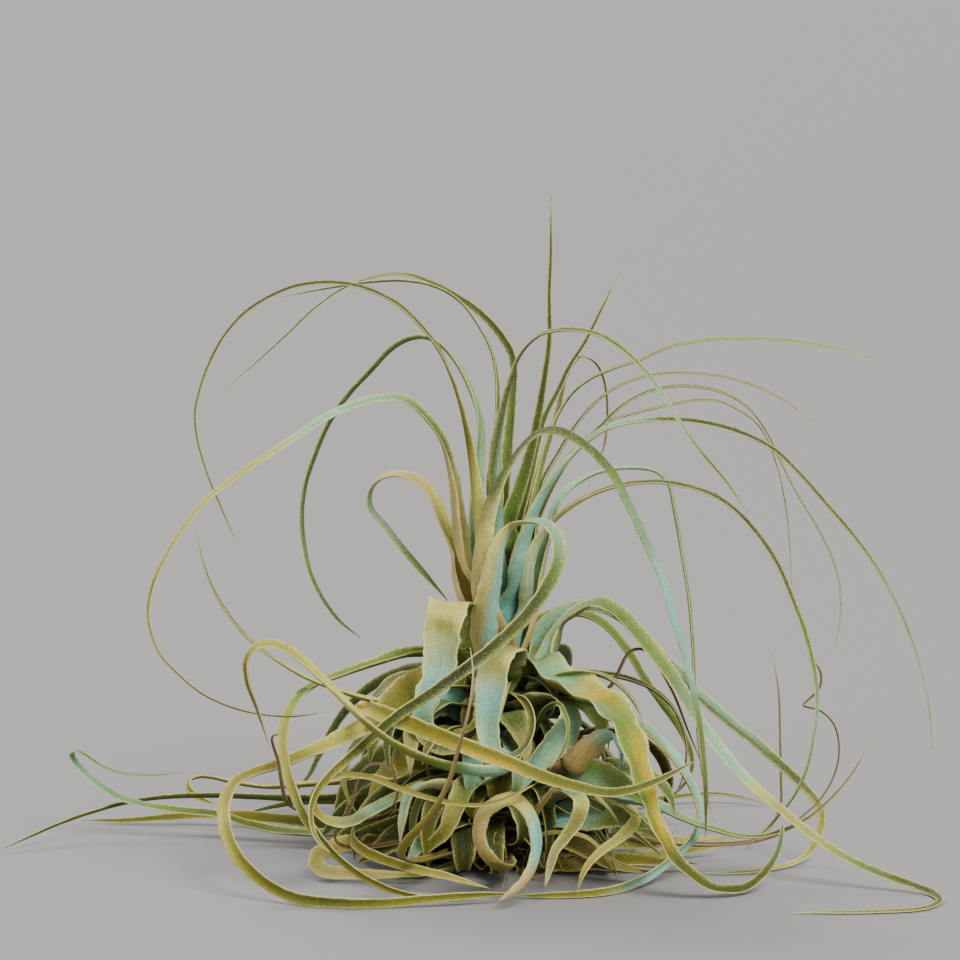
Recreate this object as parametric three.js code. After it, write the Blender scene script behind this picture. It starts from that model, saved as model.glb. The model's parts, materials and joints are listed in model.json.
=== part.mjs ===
// An air plant with long curling leaves, standing on the foot of its own stem.
// Units are millimetres, +Z is up, and the origin is the middle of the stem's foot.
// The side that is looked at faces -Y, and +X is to its right.

import * as THREE from 'three';

// The stem: radius and height down its side, from the flat foot to the growing tip
const STEM_SIDE = [[7.5, 0], [8.4, 5], [8, 30], [6.8, 66], [5.4, 92], [3.8, 106], [1.5, 113]];
const STEM_FACETS = 20;

// Leaves leave the stem in a spiral, each one higher than the last
const SPIRAL_STEP = THREE.MathUtils.degToRad(137.5);
const SPIRAL_START = THREE.MathUtils.degToRad(340);
const LOWEST_ROOT = 4;
const HIGHEST_ROOT = 106;
const ROOT_GAP = 0.3;
// A leaf leaves the stem towards its first way point, within these angles
const MOST_TURN = THREE.MathUtils.degToRad(50);
const LEAST_RISE = THREE.MathUtils.degToRad(-25);
const MOST_RISE = THREE.MathUtils.degToRad(68);
// It goes straight on by this share of its way there, and no further than this
const ROOT_SHARE = 0.4;
const LONGEST_ROOT = 5;

// Thickness of a blade
const RIB_THICKNESS = 1.1;
const EDGE_THICKNESS = 0.7;
const NARROW_THICKNESS = 0.9;
// A blade that is wider than this somewhere has a folded channel down its middle
const CHANNEL_FROM_WIDTH = 4.2;
const CHANNEL_DEPTH = 0.14;
const UNDERSIDE_SHARE = 0.72;

// How finely a leaf is divided: a new station each so many millimetres or radians of bend
const STATION_LENGTH = 20;
const STATION_BEND = 0.46;
const STATIONS_PER_WAVE = 4;
const CURVE_SAMPLES = 600;

// How far apart different leaves are kept, and how that is worked out
const LEAF_SPACING = 3.4;
const STEM_CLEARANCE = 1.6;
const TOUCH_STEP = 4;
const CLEARING_ROUNDS = 90;
const CLEARING_SHARE = 0.45;
const SIGHT_BIAS = 1.2;
const HOLD_SHAPE = 0.04;
const TABLE_GAP = 0.05;
const TOUCH_MARGIN = 0.8;
// Touch points of one leaf push each other only when they are this many stations apart
const OWN_STATIONS_APART = 4;
const ROUNDS_PER_NEW_FRAME = 10;
const ROLL_ROUNDS = 120;
const TINY = 1e-6;
// Touch points are sorted into cubes, this many each way, with the origin in the middle one
const CUBES_EACH_WAY = 400;

// A rippled leaf's right edge lags behind its left one, and its ripple starts gently
const RIPPLE_LAG = 2;
const RIPPLE_RATE = 0.83;
const RIPPLE_START_STATIONS = 6;

// The place from which the leaves' ways are given: each way point is [across, up, depth].
// Across and up are where the point is seen against the upright plane through the stem,
// and depth is how far behind that plane it really is.
const EYE = new THREE.Vector3(-7, -1287, 317);

const TONES = {
  mint: { color: 0x9fb8a4, roughness: 0.75 },
  sage: { color: 0x8a9a6c, roughness: 0.75 },
  olive: { color: 0x868a42, roughness: 0.75 },
  ochre: { color: 0xb5a560, roughness: 0.8 },
  dry: { color: 0x7d6a4c, roughness: 0.9 },
};
const STEM_TONE = { color: 0x6e5a3e, roughness: 0.95 };

// The leaves from the foot of the stem up. Widths and roll angles are spread evenly along
// a leaf, and a wave is the height and the length of its edges' ripple.
const LEAVES = [
  { name: 'base_right_tongue', tone: 'ochre', width: [5, 5.5, 5, 4.5, 4, 3, 1.4], roll: [0, 30],
    route: [[18, 12, -14], [32, 18, -28], [43, 20, -40], [48, 15, -47], [43, 8.5, -50], [36, 3.5, -53],
      [30, -4, -56], [27.5, -11, -58]] },
  { name: 'left_back_strap', tone: 'olive', width: [4, 4.6, 5, 4.6, 3.6, 2.6, 1], roll: [0, -35],
    route: [[-14, 10, 8], [-40, 10, 22], [-70, 14, 40], [-98, 16.5, 50], [-112, 16, 52], [-131, 14.5, 54],
      [-148, 14.5, 55]] },
  { name: 'table_blade_left', tone: 'mint', width: [5, 5.5, 5.5, 5.5, 5, 4], roll: [0, -35],
    route: [[-6, 4, -14], [-14, -0.5, -20], [-25, -4, -23], [-41, -5.5, -24], [-55, -4, -21],
      [-67, 0.5, -12]] },
  { name: 'back_floor_right', tone: 'olive', width: [5, 5, 4.6, 4, 3, 2, 1], roll: [0, 30],
    route: [[13, 9, 10], [24, 12, 34], [36, 18, 62], [56, 22, 82], [78, 24, 88], [96, 20, 84]] },
  { name: 'dry_left_curl', tone: 'dry', width: [3, 2.6, 2.2, 2, 1.8, 1.5, 1], roll: [0, 30],
    route: [[-12, 14, -8], [-28, 9, -18], [-46, 5, -28], [-57, 6, -33], [-58, 11, -36], [-53, 18, -38],
      [-50.5, 28, -40], [-47, 34, -42], [-41, 34.5, -44], [-37, 29, -46], [-36.5, 23, -46],
      [-38.5, 19, -45]] },
  { name: 'base_front_ring', tone: 'ochre', width: [5, 5.6, 6, 6, 6, 6, 5.4, 4, 2], roll: [0, 50],
    route: [[1, 4, -16], [2, 1, -30], [2, -2, -42], [-2, -1, -52], [-6, 4, -57], [-7.5, 10, -59],
      [-6, 16.5, -60],
      [-1, 21, -61], [5, 22.5, -61.5], [10, 18, -63], [13, 9, -65], [12.5, 1, -66], [9, -7, -69],
      [4, -12, -71],
      [-1, -15.5, -71]] },
  { name: 'back_floor_left', tone: 'olive', width: [5, 5, 4.6, 4, 3, 2, 1], roll: [0, 30],
    route: [[-2, 13, 17], [-12, 14, 37], [-30, 17, 58], [-50, 21, 76], [-72, 21, 76], [-90, 17, 64]] },
  { name: 'dry_upright', tone: 'dry', width: [3.5, 3.6, 3.6, 3.4, 2.8, 2, 1.4, 0.8], roll: [0, 30],
    route: [[-10, 8, -16], [-20, 4, -32], [-30, 1, -46], [-35, 2, -58], [-33, 7, -66], [-27, 14, -71],
      [-20, 24, -73], [-14.5, 41, -73], [-10.5, 57, -72], [-9.5, 68, -70], [-10.5, 77, -67]] },
  { name: 'right_table_curl', tone: 'dry', width: [3, 2.4, 2, 1.8, 1.5, 1.2, 1, 0.8, 0.8], roll: [0, 30],
    route: [[14, 14, -6], [36, 10, -14], [60, 6, -20], [84, 6, -24], [98, 9, -25], [106, 15, -25],
      [113, 21.5, -25], [118, 30, -24], [120, 40, -23], [117.5, 50, -22], [112, 54.5, -21], [107, 56, -20],
      [110, 59, -18], [113, 63, -17], [113, 68, -16], [110.5, 72, -15]] },
  { name: 'left_hook', tone: 'olive', width: [3.5, 4.4, 5, 4.6, 3.8, 3, 2.6, 2, 1], roll: [0, -35],
    route: [[-14, 18, 4], [-38, 13, 12], [-62, 10, 20], [-85, 12, 26], [-99, 16.5, 29], [-112, 18, 31],
      [-123, 19.5, 32], [-134, 22.5, 33], [-143, 28, 33], [-149, 34, 33], [-151.5, 38.5, 33],
      [-149.5, 39.5, 32],
      [-145, 36.5, 31], [-139, 33, 30], [-131, 31, 29], [-110, 32, 27]] },
  { name: 'base_front_tongue', tone: 'mint', width: [5, 6, 6.5, 6, 5, 3.4, 1.8], roll: [0, 30],
    route: [[12, 18, -18], [19, 24, -32], [25, 25, -44], [29, 20, -54], [26, 12, -59], [20, 4, -62],
      [17, -6, -63],
      [16, -10, -64]] },
  { name: 'right_pale_upright', tone: 'dry', width: [3, 2.6, 2.2, 2, 1.6, 1.4, 1.1, 0.8], roll: [0, 30],
    route: [[12, 22, 8], [34, 14, 17], [60, 8, 26], [82, 7, 32], [94, 10, 34], [99, 18, 34], [99.5, 28, 33],
      [99, 45, 32], [98.5, 59, 31], [96, 75, 30]] },
  { name: 'low_left_strap', tone: 'ochre', width: [4.5, 4.2, 3.8, 3.6, 3.2, 2.6, 1.4], roll: [0, -30],
    route: [[-14, 20, -6], [-30, 18, -15], [-44, 14, -24], [-52, 9, -31], [-49, 4, -40], [-36, -1.5, -47],
      [-20, -5.5, -51], [-3, -10.5, -53]] },
  { name: 'right_dark_strap', tone: 'mint', width: [7, 8.5, 9, 8.5, 7, 5, 2], roll: [0, 20],
    route: [[12, 27, -10], [22, 28, -18], [31, 32, -24], [38, 34.5, -29], [46, 33, -32], [54, 30, -34],
      [60, 24, -35], [62, 16, -34]] },
  { name: 'left_far_sweep', tone: 'olive', width: [4, 4.4, 4.6, 4, 3.4, 2.8, 2.2, 1.8, 1], roll: [0, -35],
    route: [[-16, 26, 10], [-44, 24, 24], [-70, 22.5, 36], [-97, 23.5, 44], [-107, 23.5, 45],
      [-123, 22.5, 42],
      [-134, 20.5, 38], [-146, 17, 32], [-157, 13, 26], [-167, 8.5, 18], [-178, 3.5, 8]] },
  { name: 'pale_finger', tone: 'mint', width: [5, 6, 6.8, 6.8, 5.6, 3], roll: [0, 30],
    route: [[-10, 24, -12], [-18, 28, -24], [-27, 28, -36], [-32.5, 23, -43], [-34.5, 15, -47],
      [-35.5, 6, -49]] },
  { name: 'right_thin_rise', tone: 'olive', width: [6, 9, 10, 8, 5, 3, 2.2, 1.8, 1.2, 0.8], roll: [0, 30],
    route: [[14, 29, 3], [26, 26, -6], [40, 24, -15], [54, 21, -24], [66, 15, -29], [77, 11, -32],
      [91, 8.5, -33], [106.5, 13.5, -33], [117, 22, -32], [124.5, 31, -31], [131, 43, -30]] },
  { name: 'dry_left_thread', tone: 'dry', width: [4, 4.6, 4.6, 3.4, 2.2, 1.6, 1.2, 0.8], roll: [0, 30],
    route: [[-14, 30, 4], [-24, 26, -3], [-35, 19, -14], [-46, 14, -26], [-56, 13.5, -36],
      [-65, 15.5, -42], [-72.5, 19, -46],
      [-76, 25, -49], [-77.5, 32, -50], [-79, 38.5, -49], [-80.5, 44.5, -47], [-78, 45.5, -45]] },
  { name: 'front_low_fold', tone: 'mint', width: [6, 7, 8, 7.5, 6, 4, 1.5], roll: [0, 20],
    route: [[1, 33, -15], [-6, 31.5, -25], [-12, 27, -33], [-16, 19, -36], [-19, 11, -38], [-25, 4, -37],
      [-29, 1, -33]] },
  { name: 'back_middle_hoop', tone: 'ochre', width: [8, 8, 7, 6, 5, 4, 2.5, 1.2], roll: [0, 30],
    route: [[0, 58, 16], [2, 72, 36], [0, 76, 56], [-6, 66, 72], [-10, 48, 78], [-4, 32, 76], [10, 24, 68],
      [22, 26, 58]] },
  { name: 'front_low_ribbon', tone: 'ochre', width: [4.5, 4.6, 5, 5, 5, 4.8, 4.4, 4.2, 3.8, 3, 1.2],
      roll: [0, -30, 45],
    route: [[-12, 32, -10], [-26, 28, -23], [-42, 20, -38], [-55, 13.5, -48], [-63, 15.5, -52],
      [-66.5, 21, -54],
      [-64.5, 27, -55], [-58, 30.5, -56], [-48, 30.5, -57], [-40, 28, -58], [-33, 25, -59],
      [-20.5, 21.5, -63],
      [-8, 19.8, -66], [2.5, 22.3, -67], [9.5, 26, -66], [14, 28.5, -64]] },
  { name: 'right_dry_hook', tone: 'dry', width: [3.5, 2.8, 2.2, 1.8, 1.5, 1.2, 0.8], roll: [0, 30],
    route: [[14, 52, 0], [28, 56, 1], [38, 62, 0], [42, 69, -1], [46, 75.5, -3], [51, 76, -4],
      [55, 71.5, -5],
      [60, 63, -6], [64.5, 52.5, -7], [68, 43, -8], [71, 36, -8]] },
  { name: 'left_yellow_fold', tone: 'ochre', width: [5, 5.4, 5.8, 6, 6, 6, 5, 3.4, 1.4], roll: [0, -40],
    route: [[-16, 30, 14], [-40, 30, 30], [-66, 28, 44], [-84, 27, 52], [-97, 29, 56], [-105, 30.5, 58],
      [-109.5, 29, 57], [-110, 26, 54], [-107, 23, 51], [-101, 20.5, 48]] },
  { name: 'mid_left_ribbon', tone: 'olive', width: [7, 7.5, 8, 7.8, 7.2, 6.6, 5.6, 4, 2.4, 1],
      roll: [0, -20, -40],
    route: [[-1, 45, -17], [3, 39, -28], [5, 35.5, -37], [2, 33.5, -43], [-6, 33, -47], [-16, 34, -52],
      [-26, 37, -57], [-35, 41, -61], [-45, 48, -62], [-55.5, 58.5, -61], [-66, 69, -60], [-74, 75.5, -59],
      [-80, 78, -58], [-85.5, 77, -57], [-89, 73, -57], [-89.5, 67.5, -57], [-87.5, 60, -56],
      [-84, 50, -54],
      [-81, 40, -52]] },
  { name: 'right_back_strap', tone: 'olive', width: [5, 4.4, 4, 3.4, 2.8, 2.2, 1.2], roll: [0, 30],
    route: [[10, 64, 8], [20, 67, 16], [32, 68, 23], [44, 66, 29], [54, 62, 34], [62, 54, 38], [66, 43, 41],
      [65, 30, 43], [60, 20, 44]] },
  { name: 'front_ochre_fold', tone: 'ochre', width: [7, 9, 10, 9, 7.5, 6, 4, 1.4], roll: [0, -30],
    route: [[-15, 48, -3], [-23, 47.5, -13], [-31, 44.5, -22], [-35, 38, -27], [-34, 32, -32],
      [-38, 29.5, -37],
      [-46, 30.5, -39], [-54, 29, -38]] },
  { name: 'right_brown_curl', tone: 'dry', width: [7, 9, 10, 10.5, 10, 7, 5, 2],
      roll: [0, -10, -40, -45, -40, -10],
    route: [[10, 44, -12], [18, 36, -19], [25, 32, -26.5], [29.5, 37, -32], [34.5, 43.5, -37],
      [39.5, 45, -41],
      [43, 39.5, -44], [42, 32.5, -46]] },
  { name: 'back_right_arch', tone: 'olive', width: [7, 6.5, 6, 5, 4.5, 4, 3, 2, 1], roll: [0, 30],
    route: [[1, 64, 18], [5, 76, 23], [11, 85, 28], [20, 89, 31], [31, 88.5, 32], [38, 84, 33],
      [44, 77, 35], [50, 67, 37],
      [57, 57, 40], [64, 47, 44], [68, 34, 50], [62, 24, 58], [48, 18, 66]] },
  { name: 'front_right_fold', tone: 'mint', width: [9, 12, 13, 12.5, 11, 9, 6.5, 5.2, 4, 1.5],
    roll: [0, 0, 0, 0, 0, 0, -45, -100, -130, -130, -130, -130, -130],
    route: [[-1, 64, -13], [1, 71, -19], [3, 75.5, -25], [2, 76.5, -31], [-1, 73, -37], [-2.5, 66, -40],
      [-3.5, 56, -42], [-4, 46, -43], [-1.5, 38.5, -45], [4.5, 37.5, -47], [9.5, 42, -46.5],
      [11.5, 50, -43],
      [9.5, 57, -38], [5, 60, -33]] },
  { name: 'right_long_sweep', tone: 'mint', width: [8, 9, 9, 7.5, 6, 5, 4.2, 3.6, 3, 2.6, 2.2, 1.8, 1],
      roll: [0, 40, 50],
    route: [[13, 63, 2], [16, 74, 3], [20, 84, 4], [27, 90.5, 3], [35, 92.5, 2], [43, 88, 0], [50, 80, -2],
      [57, 71.5, -5], [64, 61, -8], [70, 51, -13], [77, 41, -18], [84, 33, -23], [91, 25.5, -28],
      [100, 18, -32], [117, 4.5, -38], [131, -3, -43], [144, -8, -47], [153, -11.5, -51],
      [156.5, -14.5, -58],
      [151, -17.5, -66], [139, -18.5, -71], [121, -19, -73], [103, -19, -74]] },
  { name: 'front_yellow_ribbon', tone: 'ochre', width: [6, 6, 6, 5.8, 5.6, 5.4, 5, 4.2, 3, 1.4],
      roll: [0, -15, 40, 45],
    route: [[-16, 55, 9], [-30, 54.5, 8], [-40, 54.5, 1], [-45.5, 55.5, -10], [-48, 56, -22],
      [-47.5, 55.6, -32],
      [-44, 54, -40], [-38, 51.5, -46], [-30, 48.4, -52], [-20, 44.4, -58], [-6.5, 39, -63], [8, 33.5, -65],
      [19, 29, -66], [30, 26, -66], [40.5, 24.5, -65], [51.5, 27, -63], [62, 32, -61], [70, 36.5, -59]] },
  { name: 'inner_right_strap', tone: 'mint', width: [6, 10, 13, 13, 12, 9, 5, 2], roll: [0, 0],
    route: [[10, 58, -14], [16, 59, -20], [23, 56, -25], [24.5, 50, -29], [20, 43, -32], [14, 36, -33],
      [8, 28, -32],
      [4, 20, -31]] },
  { name: 'right_low_arch', tone: 'mint', width: [8, 7.5, 6.5, 5.5, 4.8, 4.2, 3.6, 3, 2.4, 1.8, 1],
      roll: [0, 40, 50],
    route: [[6, 67, 13], [11, 76.5, 16], [17, 85, 17], [24, 90, 18], [33, 91.5, 20], [42, 88, 20],
      [50, 81, 19],
      [58.5, 72, 17], [70, 60, 13], [79, 52, 9], [90, 43, 4], [99.5, 34.5, 0], [106, 28, -2], [111, 23, -4],
      [114, 17, -5], [113, 9, -6], [109, 2, -7], [100, -2.5, -10], [86, -4.5, -16], [71, -4.5, -16]] },
  { name: 'left_broad_hoop', tone: 'ochre', width: [8, 8, 7.5, 6.5, 5.5, 5, 4.4, 3.8, 3.2, 2.6, 1.4],
      roll: [0, -45, -40],
    route: [[-16, 56, -10], [-30, 55, -15], [-50, 47, -22], [-63, 41, -28], [-77, 35, -33], [-89, 31, -37],
      [-95, 26.5, -41], [-97.5, 20, -45], [-97.5, 13.5, -49], [-94, 3, -54], [-85, -7, -60],
      [-71, -14.5, -65],
      [-56, -17, -68], [-35, -15, -68], [-18, -13.5, -66], [-5, -12.5, -63], [7, -12, -60]] },
  { name: 'front_right_hoop', tone: 'olive', width: [4.5, 4.8, 5, 5, 5, 4.8, 4.6, 4, 3.4, 2.6, 2, 1.2],
      roll: [0, 40, 50],
    route: [[14, 60, -8], [25, 60, -12], [36, 57.5, -16], [45, 53, -19], [52, 47.5, -21], [57.5, 42.5, -22],
      [63.5, 34.8, -23], [68, 27, -23], [70.8, 18.5, -23], [70, 10.5, -25], [64.5, 3.5, -29], [57, -3, -35],
      [48, -8.5, -43], [36.5, -12.5, -51], [20, -13, -55], [4, -13, -55]] },
  { name: 'back_left_arch', tone: 'mint', width: [7, 7, 6, 5, 4, 3, 2, 1], roll: [0, 30],
    route: [[-8, 68, 16], [-16, 70, 32], [-28, 70, 50], [-42, 65, 66], [-54, 55, 76], [-62, 42, 80],
      [-68, 30, 76],
      [-76, 22, 66]] },
  { name: 'crown_front_loop', tone: 'mint', width: [7, 8.5, 6.5, 6, 5.4, 5, 4.6, 4.2, 3.8, 3, 1.6],
      roll: [0, 45, 45],
    route: [[-5.5, 78, -14], [-5, 91, -16], [-3, 101, -18], [-2, 108, -19], [0.5, 115.5, -21],
      [5, 120.5, -23],
      [11, 122, -27], [16.5, 120.5, -30], [20, 115.5, -33], [20.5, 108.5, -36], [18, 101, -38],
      [12, 92, -41],
      [3.5, 82, -44], [-7, 73.5, -47], [-21, 62.5, -50], [-34, 54, -52], [-44, 45.5, -53], [-53, 37.5, -56],
      [-60, 31, -60], [-65, 24.5, -63], [-67, 17, -66], [-65.5, 9, -68], [-60, 2.5, -69]] },
  { name: 'crown_right_far_drop', tone: 'sage', width: [5, 4.5, 3, 2.4, 2, 1.8, 1.5, 1.2, 0.8],
      roll: [0, 30],
    route: [[9, 112, 8], [17, 131, 18], [26, 146, 28], [37, 157, 36], [44, 163.5, 40], [52, 167.5, 44],
      [62, 169.5, 48], [73, 168.5, 51], [84, 164, 54], [91, 157, 56], [96, 148, 57], [101.5, 136, 58],
      [110, 122, 59], [117, 108, 60], [120, 93.5, 60], [118, 76, 60]] },
  { name: 'left_riser', tone: 'ochre', width: [5, 4.6, 4, 3.4, 2.8, 2.2, 1.6, 0.8], roll: [0, -40],
    route: [[-16, 60, -6], [-27, 58, -12], [-37, 57, -17], [-50, 59, -22], [-63, 64, -27], [-72, 68, -29],
      [-82, 75, -31], [-89, 80.5, -32], [-95, 88, -33], [-100.5, 97, -33], [-104.5, 108, -33],
      [-107, 120, -32]] },
  { name: 'front_cascade', tone: 'ochre', width: [9, 13, 14, 13, 10.5, 8.5, 6.6, 5.6, 4.6, 3.4, 2.4, 1.2],
    roll: [0, 30, 30], wave: [1.1, 14],
    route: [[8, 71, -11], [14, 72, -16], [21, 68, -23], [29, 63, -30], [37.5, 57.5, -37], [43.5, 50.5, -43],
      [47, 42, -49], [51, 29, -54], [54.5, 16.5, -57], [60, 4.5, -58], [68, -5, -57], [78, -10.5, -54],
      [87, -10, -50], [94, -4.5, -46], [99, 4, -43], [100.5, 14, -41]] },
  { name: 'crown_right_far_inner', tone: 'sage', width: [5, 4.5, 3, 2.2, 1.8, 1.5, 1.2, 0.8], roll: [0, 30],
    route: [[7, 110, 10], [14, 128, 24], [25, 146, 42], [39, 157.5, 55], [49, 160.5, 61], [60, 163, 66],
      [69, 164.5, 70], [77, 164, 73], [85, 160, 75], [91, 155, 77], [95, 147, 78], [98, 138, 79],
      [101, 122, 80], [102.5, 99, 80]] },
  { name: 'front_left_fold', tone: 'mint', width: [7, 8, 11, 13, 13, 12, 10, 8.5, 7.5, 6.5, 4, 1.5],
    roll: [0, 0, 5, 22, 40, 36, 26, 20, 20, 20],
    route: [[-10, 81, -8], [-12.5, 88.5, -11], [-15.5, 92.3, -17], [-17.8, 92.3, -25], [-19.2, 87, -31],
      [-20.5, 79, -33], [-22, 66, -34], [-27, 56, -36], [-27, 48, -37], [-22, 42, -37], [-14, 43, -36],
      [-8, 48, -34], [-7, 54, -32], [-10, 59, -31]] },
  { name: 'crown_right_back_drop', tone: 'sage', width: [5, 5, 4.3, 4.2, 3.6, 3, 2.6, 2.2, 1.8, 1.2],
      roll: [0, 40],
    route: [[13, 104, 0], [17, 119, 4], [21, 130, 11], [29, 137, 18], [38, 140.3, 22], [47, 140.8, 25],
      [54.5, 139.5, 26], [59, 135, 26], [61, 127, 25], [63.5, 113, 23], [66, 98, 20], [67.5, 85, 17],
      [68.5, 68, 13], [70, 46, 8], [72.5, 28, 4], [76, 14, 2]] },
  { name: 'left_olive_hoop', tone: 'olive', width: [6, 5.5, 5, 4.6, 4.2, 3.6, 3, 2.6, 2, 1],
      roll: [0, -45, -40],
    route: [[-12, 77, 4], [-19, 76.5, 0], [-27, 76, -6], [-35, 75, -10], [-45, 71.5, -15],
      [-56, 67.5, -20], [-65, 64, -25],
      [-71, 59, -30], [-75, 52, -35], [-77, 42, -40], [-75.5, 31, -45], [-72.5, 21, -49], [-67, 12, -53],
      [-56, -0.5, -56], [-43, -9, -57], [-30.5, -13, -58], [-18, -14, -59], [-3.5, -13.5, -57]] },
  { name: 'crown_front_arch', tone: 'mint', width: [7, 11, 10, 5.5, 3.8, 3.4, 3, 2.6, 2.2, 1.7, 1.2],
      roll: [0, 40],
    route: [[-5, 97, -12], [-5, 108, -13.5], [-4, 120, -15], [-2, 130, -16], [4, 142, -19], [9, 149, -22],
      [14.5, 153.5, -25], [19.5, 154, -27], [25, 151.8, -30], [31, 147.5, -33], [37, 142, -36],
      [41, 135.5, -38],
      [45, 128, -40], [51, 115, -43], [58, 99, -46], [61.5, 86, -48], [65, 75, -49], [69, 58, -50],
      [72, 38, -51], [73, 22, -51], [73, 8, -50]] },
  { name: 'crown_back_right_curl', tone: 'sage', width: [5, 4.5, 3, 2.4, 2, 1.6, 1], roll: [0, 30],
    route: [[7, 116, 9], [14, 140, 26], [20, 160, 42], [24, 175, 54], [28, 179.5, 60], [31.5, 179, 64],
      [35, 175, 68], [37, 168, 70], [37.5, 159, 71], [36.5, 148.5, 70], [34, 141.5, 68]] },
  { name: 'crown_left_hoop', tone: 'mint', width: [7, 7.5, 6, 4.6, 4.4, 4.2, 4.2, 4.2, 4, 2],
      roll: [0, -35],
    route: [[-12, 98, 1], [-14.5, 111, 5], [-20, 123, 10], [-24.5, 132.5, 15], [-30, 137, 20],
      [-36, 138.5, 27],
      [-42, 137, 33], [-45.5, 132, 38], [-45, 126, 40], [-41, 121, 40], [-34, 112, 37], [-26, 102.5, 32],
      [-18, 93, 26]] },
  { name: 'crown_right_bow', tone: 'mint', width: [6, 5.5, 4, 3.2, 2.8, 2.6, 2.4, 2, 1.5, 0.9],
      roll: [0, 40],
    route: [[9, 108, -5], [16, 120, -8], [24, 127, -11], [33, 132, -14], [44, 135, -18], [52, 135.8, -20],
      [60, 135.3, -22], [68, 133.5, -24], [76, 130.3, -26], [84, 124.3, -28], [92, 115, -30],
      [98.5, 104.5, -31],
      [104, 91, -32], [108, 80, -33], [111, 67, -33], [112, 54, -33], [110.5, 43, -33], [108, 31.5, -32],
      [104, 23, -31], [97, 14, -30], [87, 3.6, -28]] },
  { name: 'crown_back_left_mid', tone: 'sage', width: [5, 5, 3.4, 2.4, 2, 1.6, 0.8], roll: [0, 30],
    route: [[0, 122, 10], [3, 150, 22], [4.5, 168, 30], [4.5, 179, 33], [1, 186, 35], [-7, 195, 37],
      [-19, 203, 39], [-33, 208.5, 41], [-45, 207.5, 43], [-57, 202.5, 44], [-68, 194, 45], [-77, 185, 46],
      [-98, 167, 48]] },
  { name: 'crown_left_tall', tone: 'sage', width: [6, 7, 5, 3.6, 2.6, 2, 1.7, 1.4, 1.1, 0.8],
      roll: [0, -30, -40, -30],
    route: [[-4.5, 101, -8], [-5.5, 113, -9.3], [-7, 126, -8.7], [-9, 140, -7.5], [-12, 157, -7],
      [-16, 171, -8],
      [-21, 182, -9], [-28, 191, -10], [-37, 199, -11], [-50, 204.5, -13], [-62, 205.5, -15],
      [-72, 204, -16],
      [-83, 199, -17], [-92, 192, -18], [-100, 180, -20], [-105, 167, -22], [-106.5, 158, -22],
      [-104, 144, -23],
      [-99, 130, -24], [-90, 109, -25]] },
  { name: 'crown_right_bow_back', tone: 'sage', width: [5, 4, 2.6, 2, 1.6, 1.4, 1.1, 0.8], roll: [0, 30],
    route: [[8.5, 106, 3], [10.5, 118, 6], [14, 134, 11], [21, 147, 15], [26, 155, 17], [31.5, 162, 19],
      [38, 167.5, 21], [46, 171.5, 22], [55, 173.5, 23], [65, 174, 24], [76, 173, 25], [87, 170, 26],
      [98, 165, 27],
      [109, 156.5, 28]] },
  { name: 'crown_back_left_drop', tone: 'mint', width: [6, 6, 5, 3.6, 2.8, 2.4, 2, 1.6, 1], roll: [0, 40],
    route: [[-8, 112, 5], [-8.5, 128, 9], [-7, 146, 14], [-7, 159, 19], [-11, 170, 24], [-18, 181.5, 30],
      [-26, 186.5, 35], [-35, 184.5, 39], [-44, 176, 42], [-54, 165, 44], [-61, 154, 46], [-66, 141, 46],
      [-69, 130, 46], [-69, 117, 46], [-66, 102, 45], [-58, 88, 43], [-49, 80, 40]] },
  { name: 'crown_right_long', tone: 'mint', width: [6, 7, 4.2, 3, 2.6, 2.2, 1.8, 1.5, 1.2, 0.8],
      roll: [0, 40],
    route: [[6, 107, -7], [9, 120, -9], [14, 131, -11], [21, 141, -12], [27, 147.5, -13], [34, 153, -14],
      [41, 156, -15], [50, 157.5, -16], [60, 157.5, -16], [71, 156.8, -15], [81, 154, -14], [91, 150, -12],
      [99, 144.5, -10], [110, 132.5, -6], [122.5, 118.5, -1], [135, 101, 6], [145, 79.5, 14],
      [150.5, 61.5, 20],
      [153, 40, 26]] },
  { name: 'crown_back_right_tall', tone: 'sage', width: [5, 4.5, 3.2, 2.4, 1.8, 1.3, 0.8], roll: [0, 30],
    route: [[5, 118, 10], [11, 140, 24], [15, 157, 36], [19, 165, 42], [24, 176, 50], [27.5, 181, 54],
      [32, 190, 60], [37, 199.5, 67], [41, 208, 73]] },
  { name: 'crown_left_arch', tone: 'mint', width: [6, 8, 5, 3.6, 3, 2.6, 2.2, 1.9, 1.5, 1.1, 0.8],
      roll: [0, -30, -40, -30],
    route: [[-11.5, 109, -1], [-13, 121, -3], [-15, 133, -6], [-17, 142, -9], [-20, 151, -12],
      [-26, 159, -15], [-34, 165, -18], [-42, 165, -21], [-56, 161, -25], [-68, 153.5, -28],
      [-80, 146, -30],
      [-91, 138, -32], [-100, 132, -33], [-109, 122, -34], [-118, 108, -35], [-123.5, 92.5, -36],
      [-123, 84, -37],
      [-120, 75, -38], [-113, 67, -40], [-103, 59, -42], [-90, 54, -44], [-75, 52, -46], [-60, 54, -48]] },
  { name: 'crown_right_straight', tone: 'sage', width: [5, 4.5, 3, 2.4, 2, 1.6, 1.3, 0.8], roll: [0, 30],
    route: [[8, 114, -2], [11, 130, 0], [14, 142, 2], [18, 155, 4], [22, 163, 7], [27, 169, 6],
      [35, 174, 5],
      [47, 178, 4], [57, 182.5, 3], [67, 185, 2], [78, 186, 1], [98, 185.5, 0], [115, 183, -1],
      [130, 179.5, -2]] },
  { name: 'crown_back_left_low', tone: 'sage', width: [5, 5, 3, 2.2, 1.8, 1.4, 0.8], roll: [0, 30],
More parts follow.
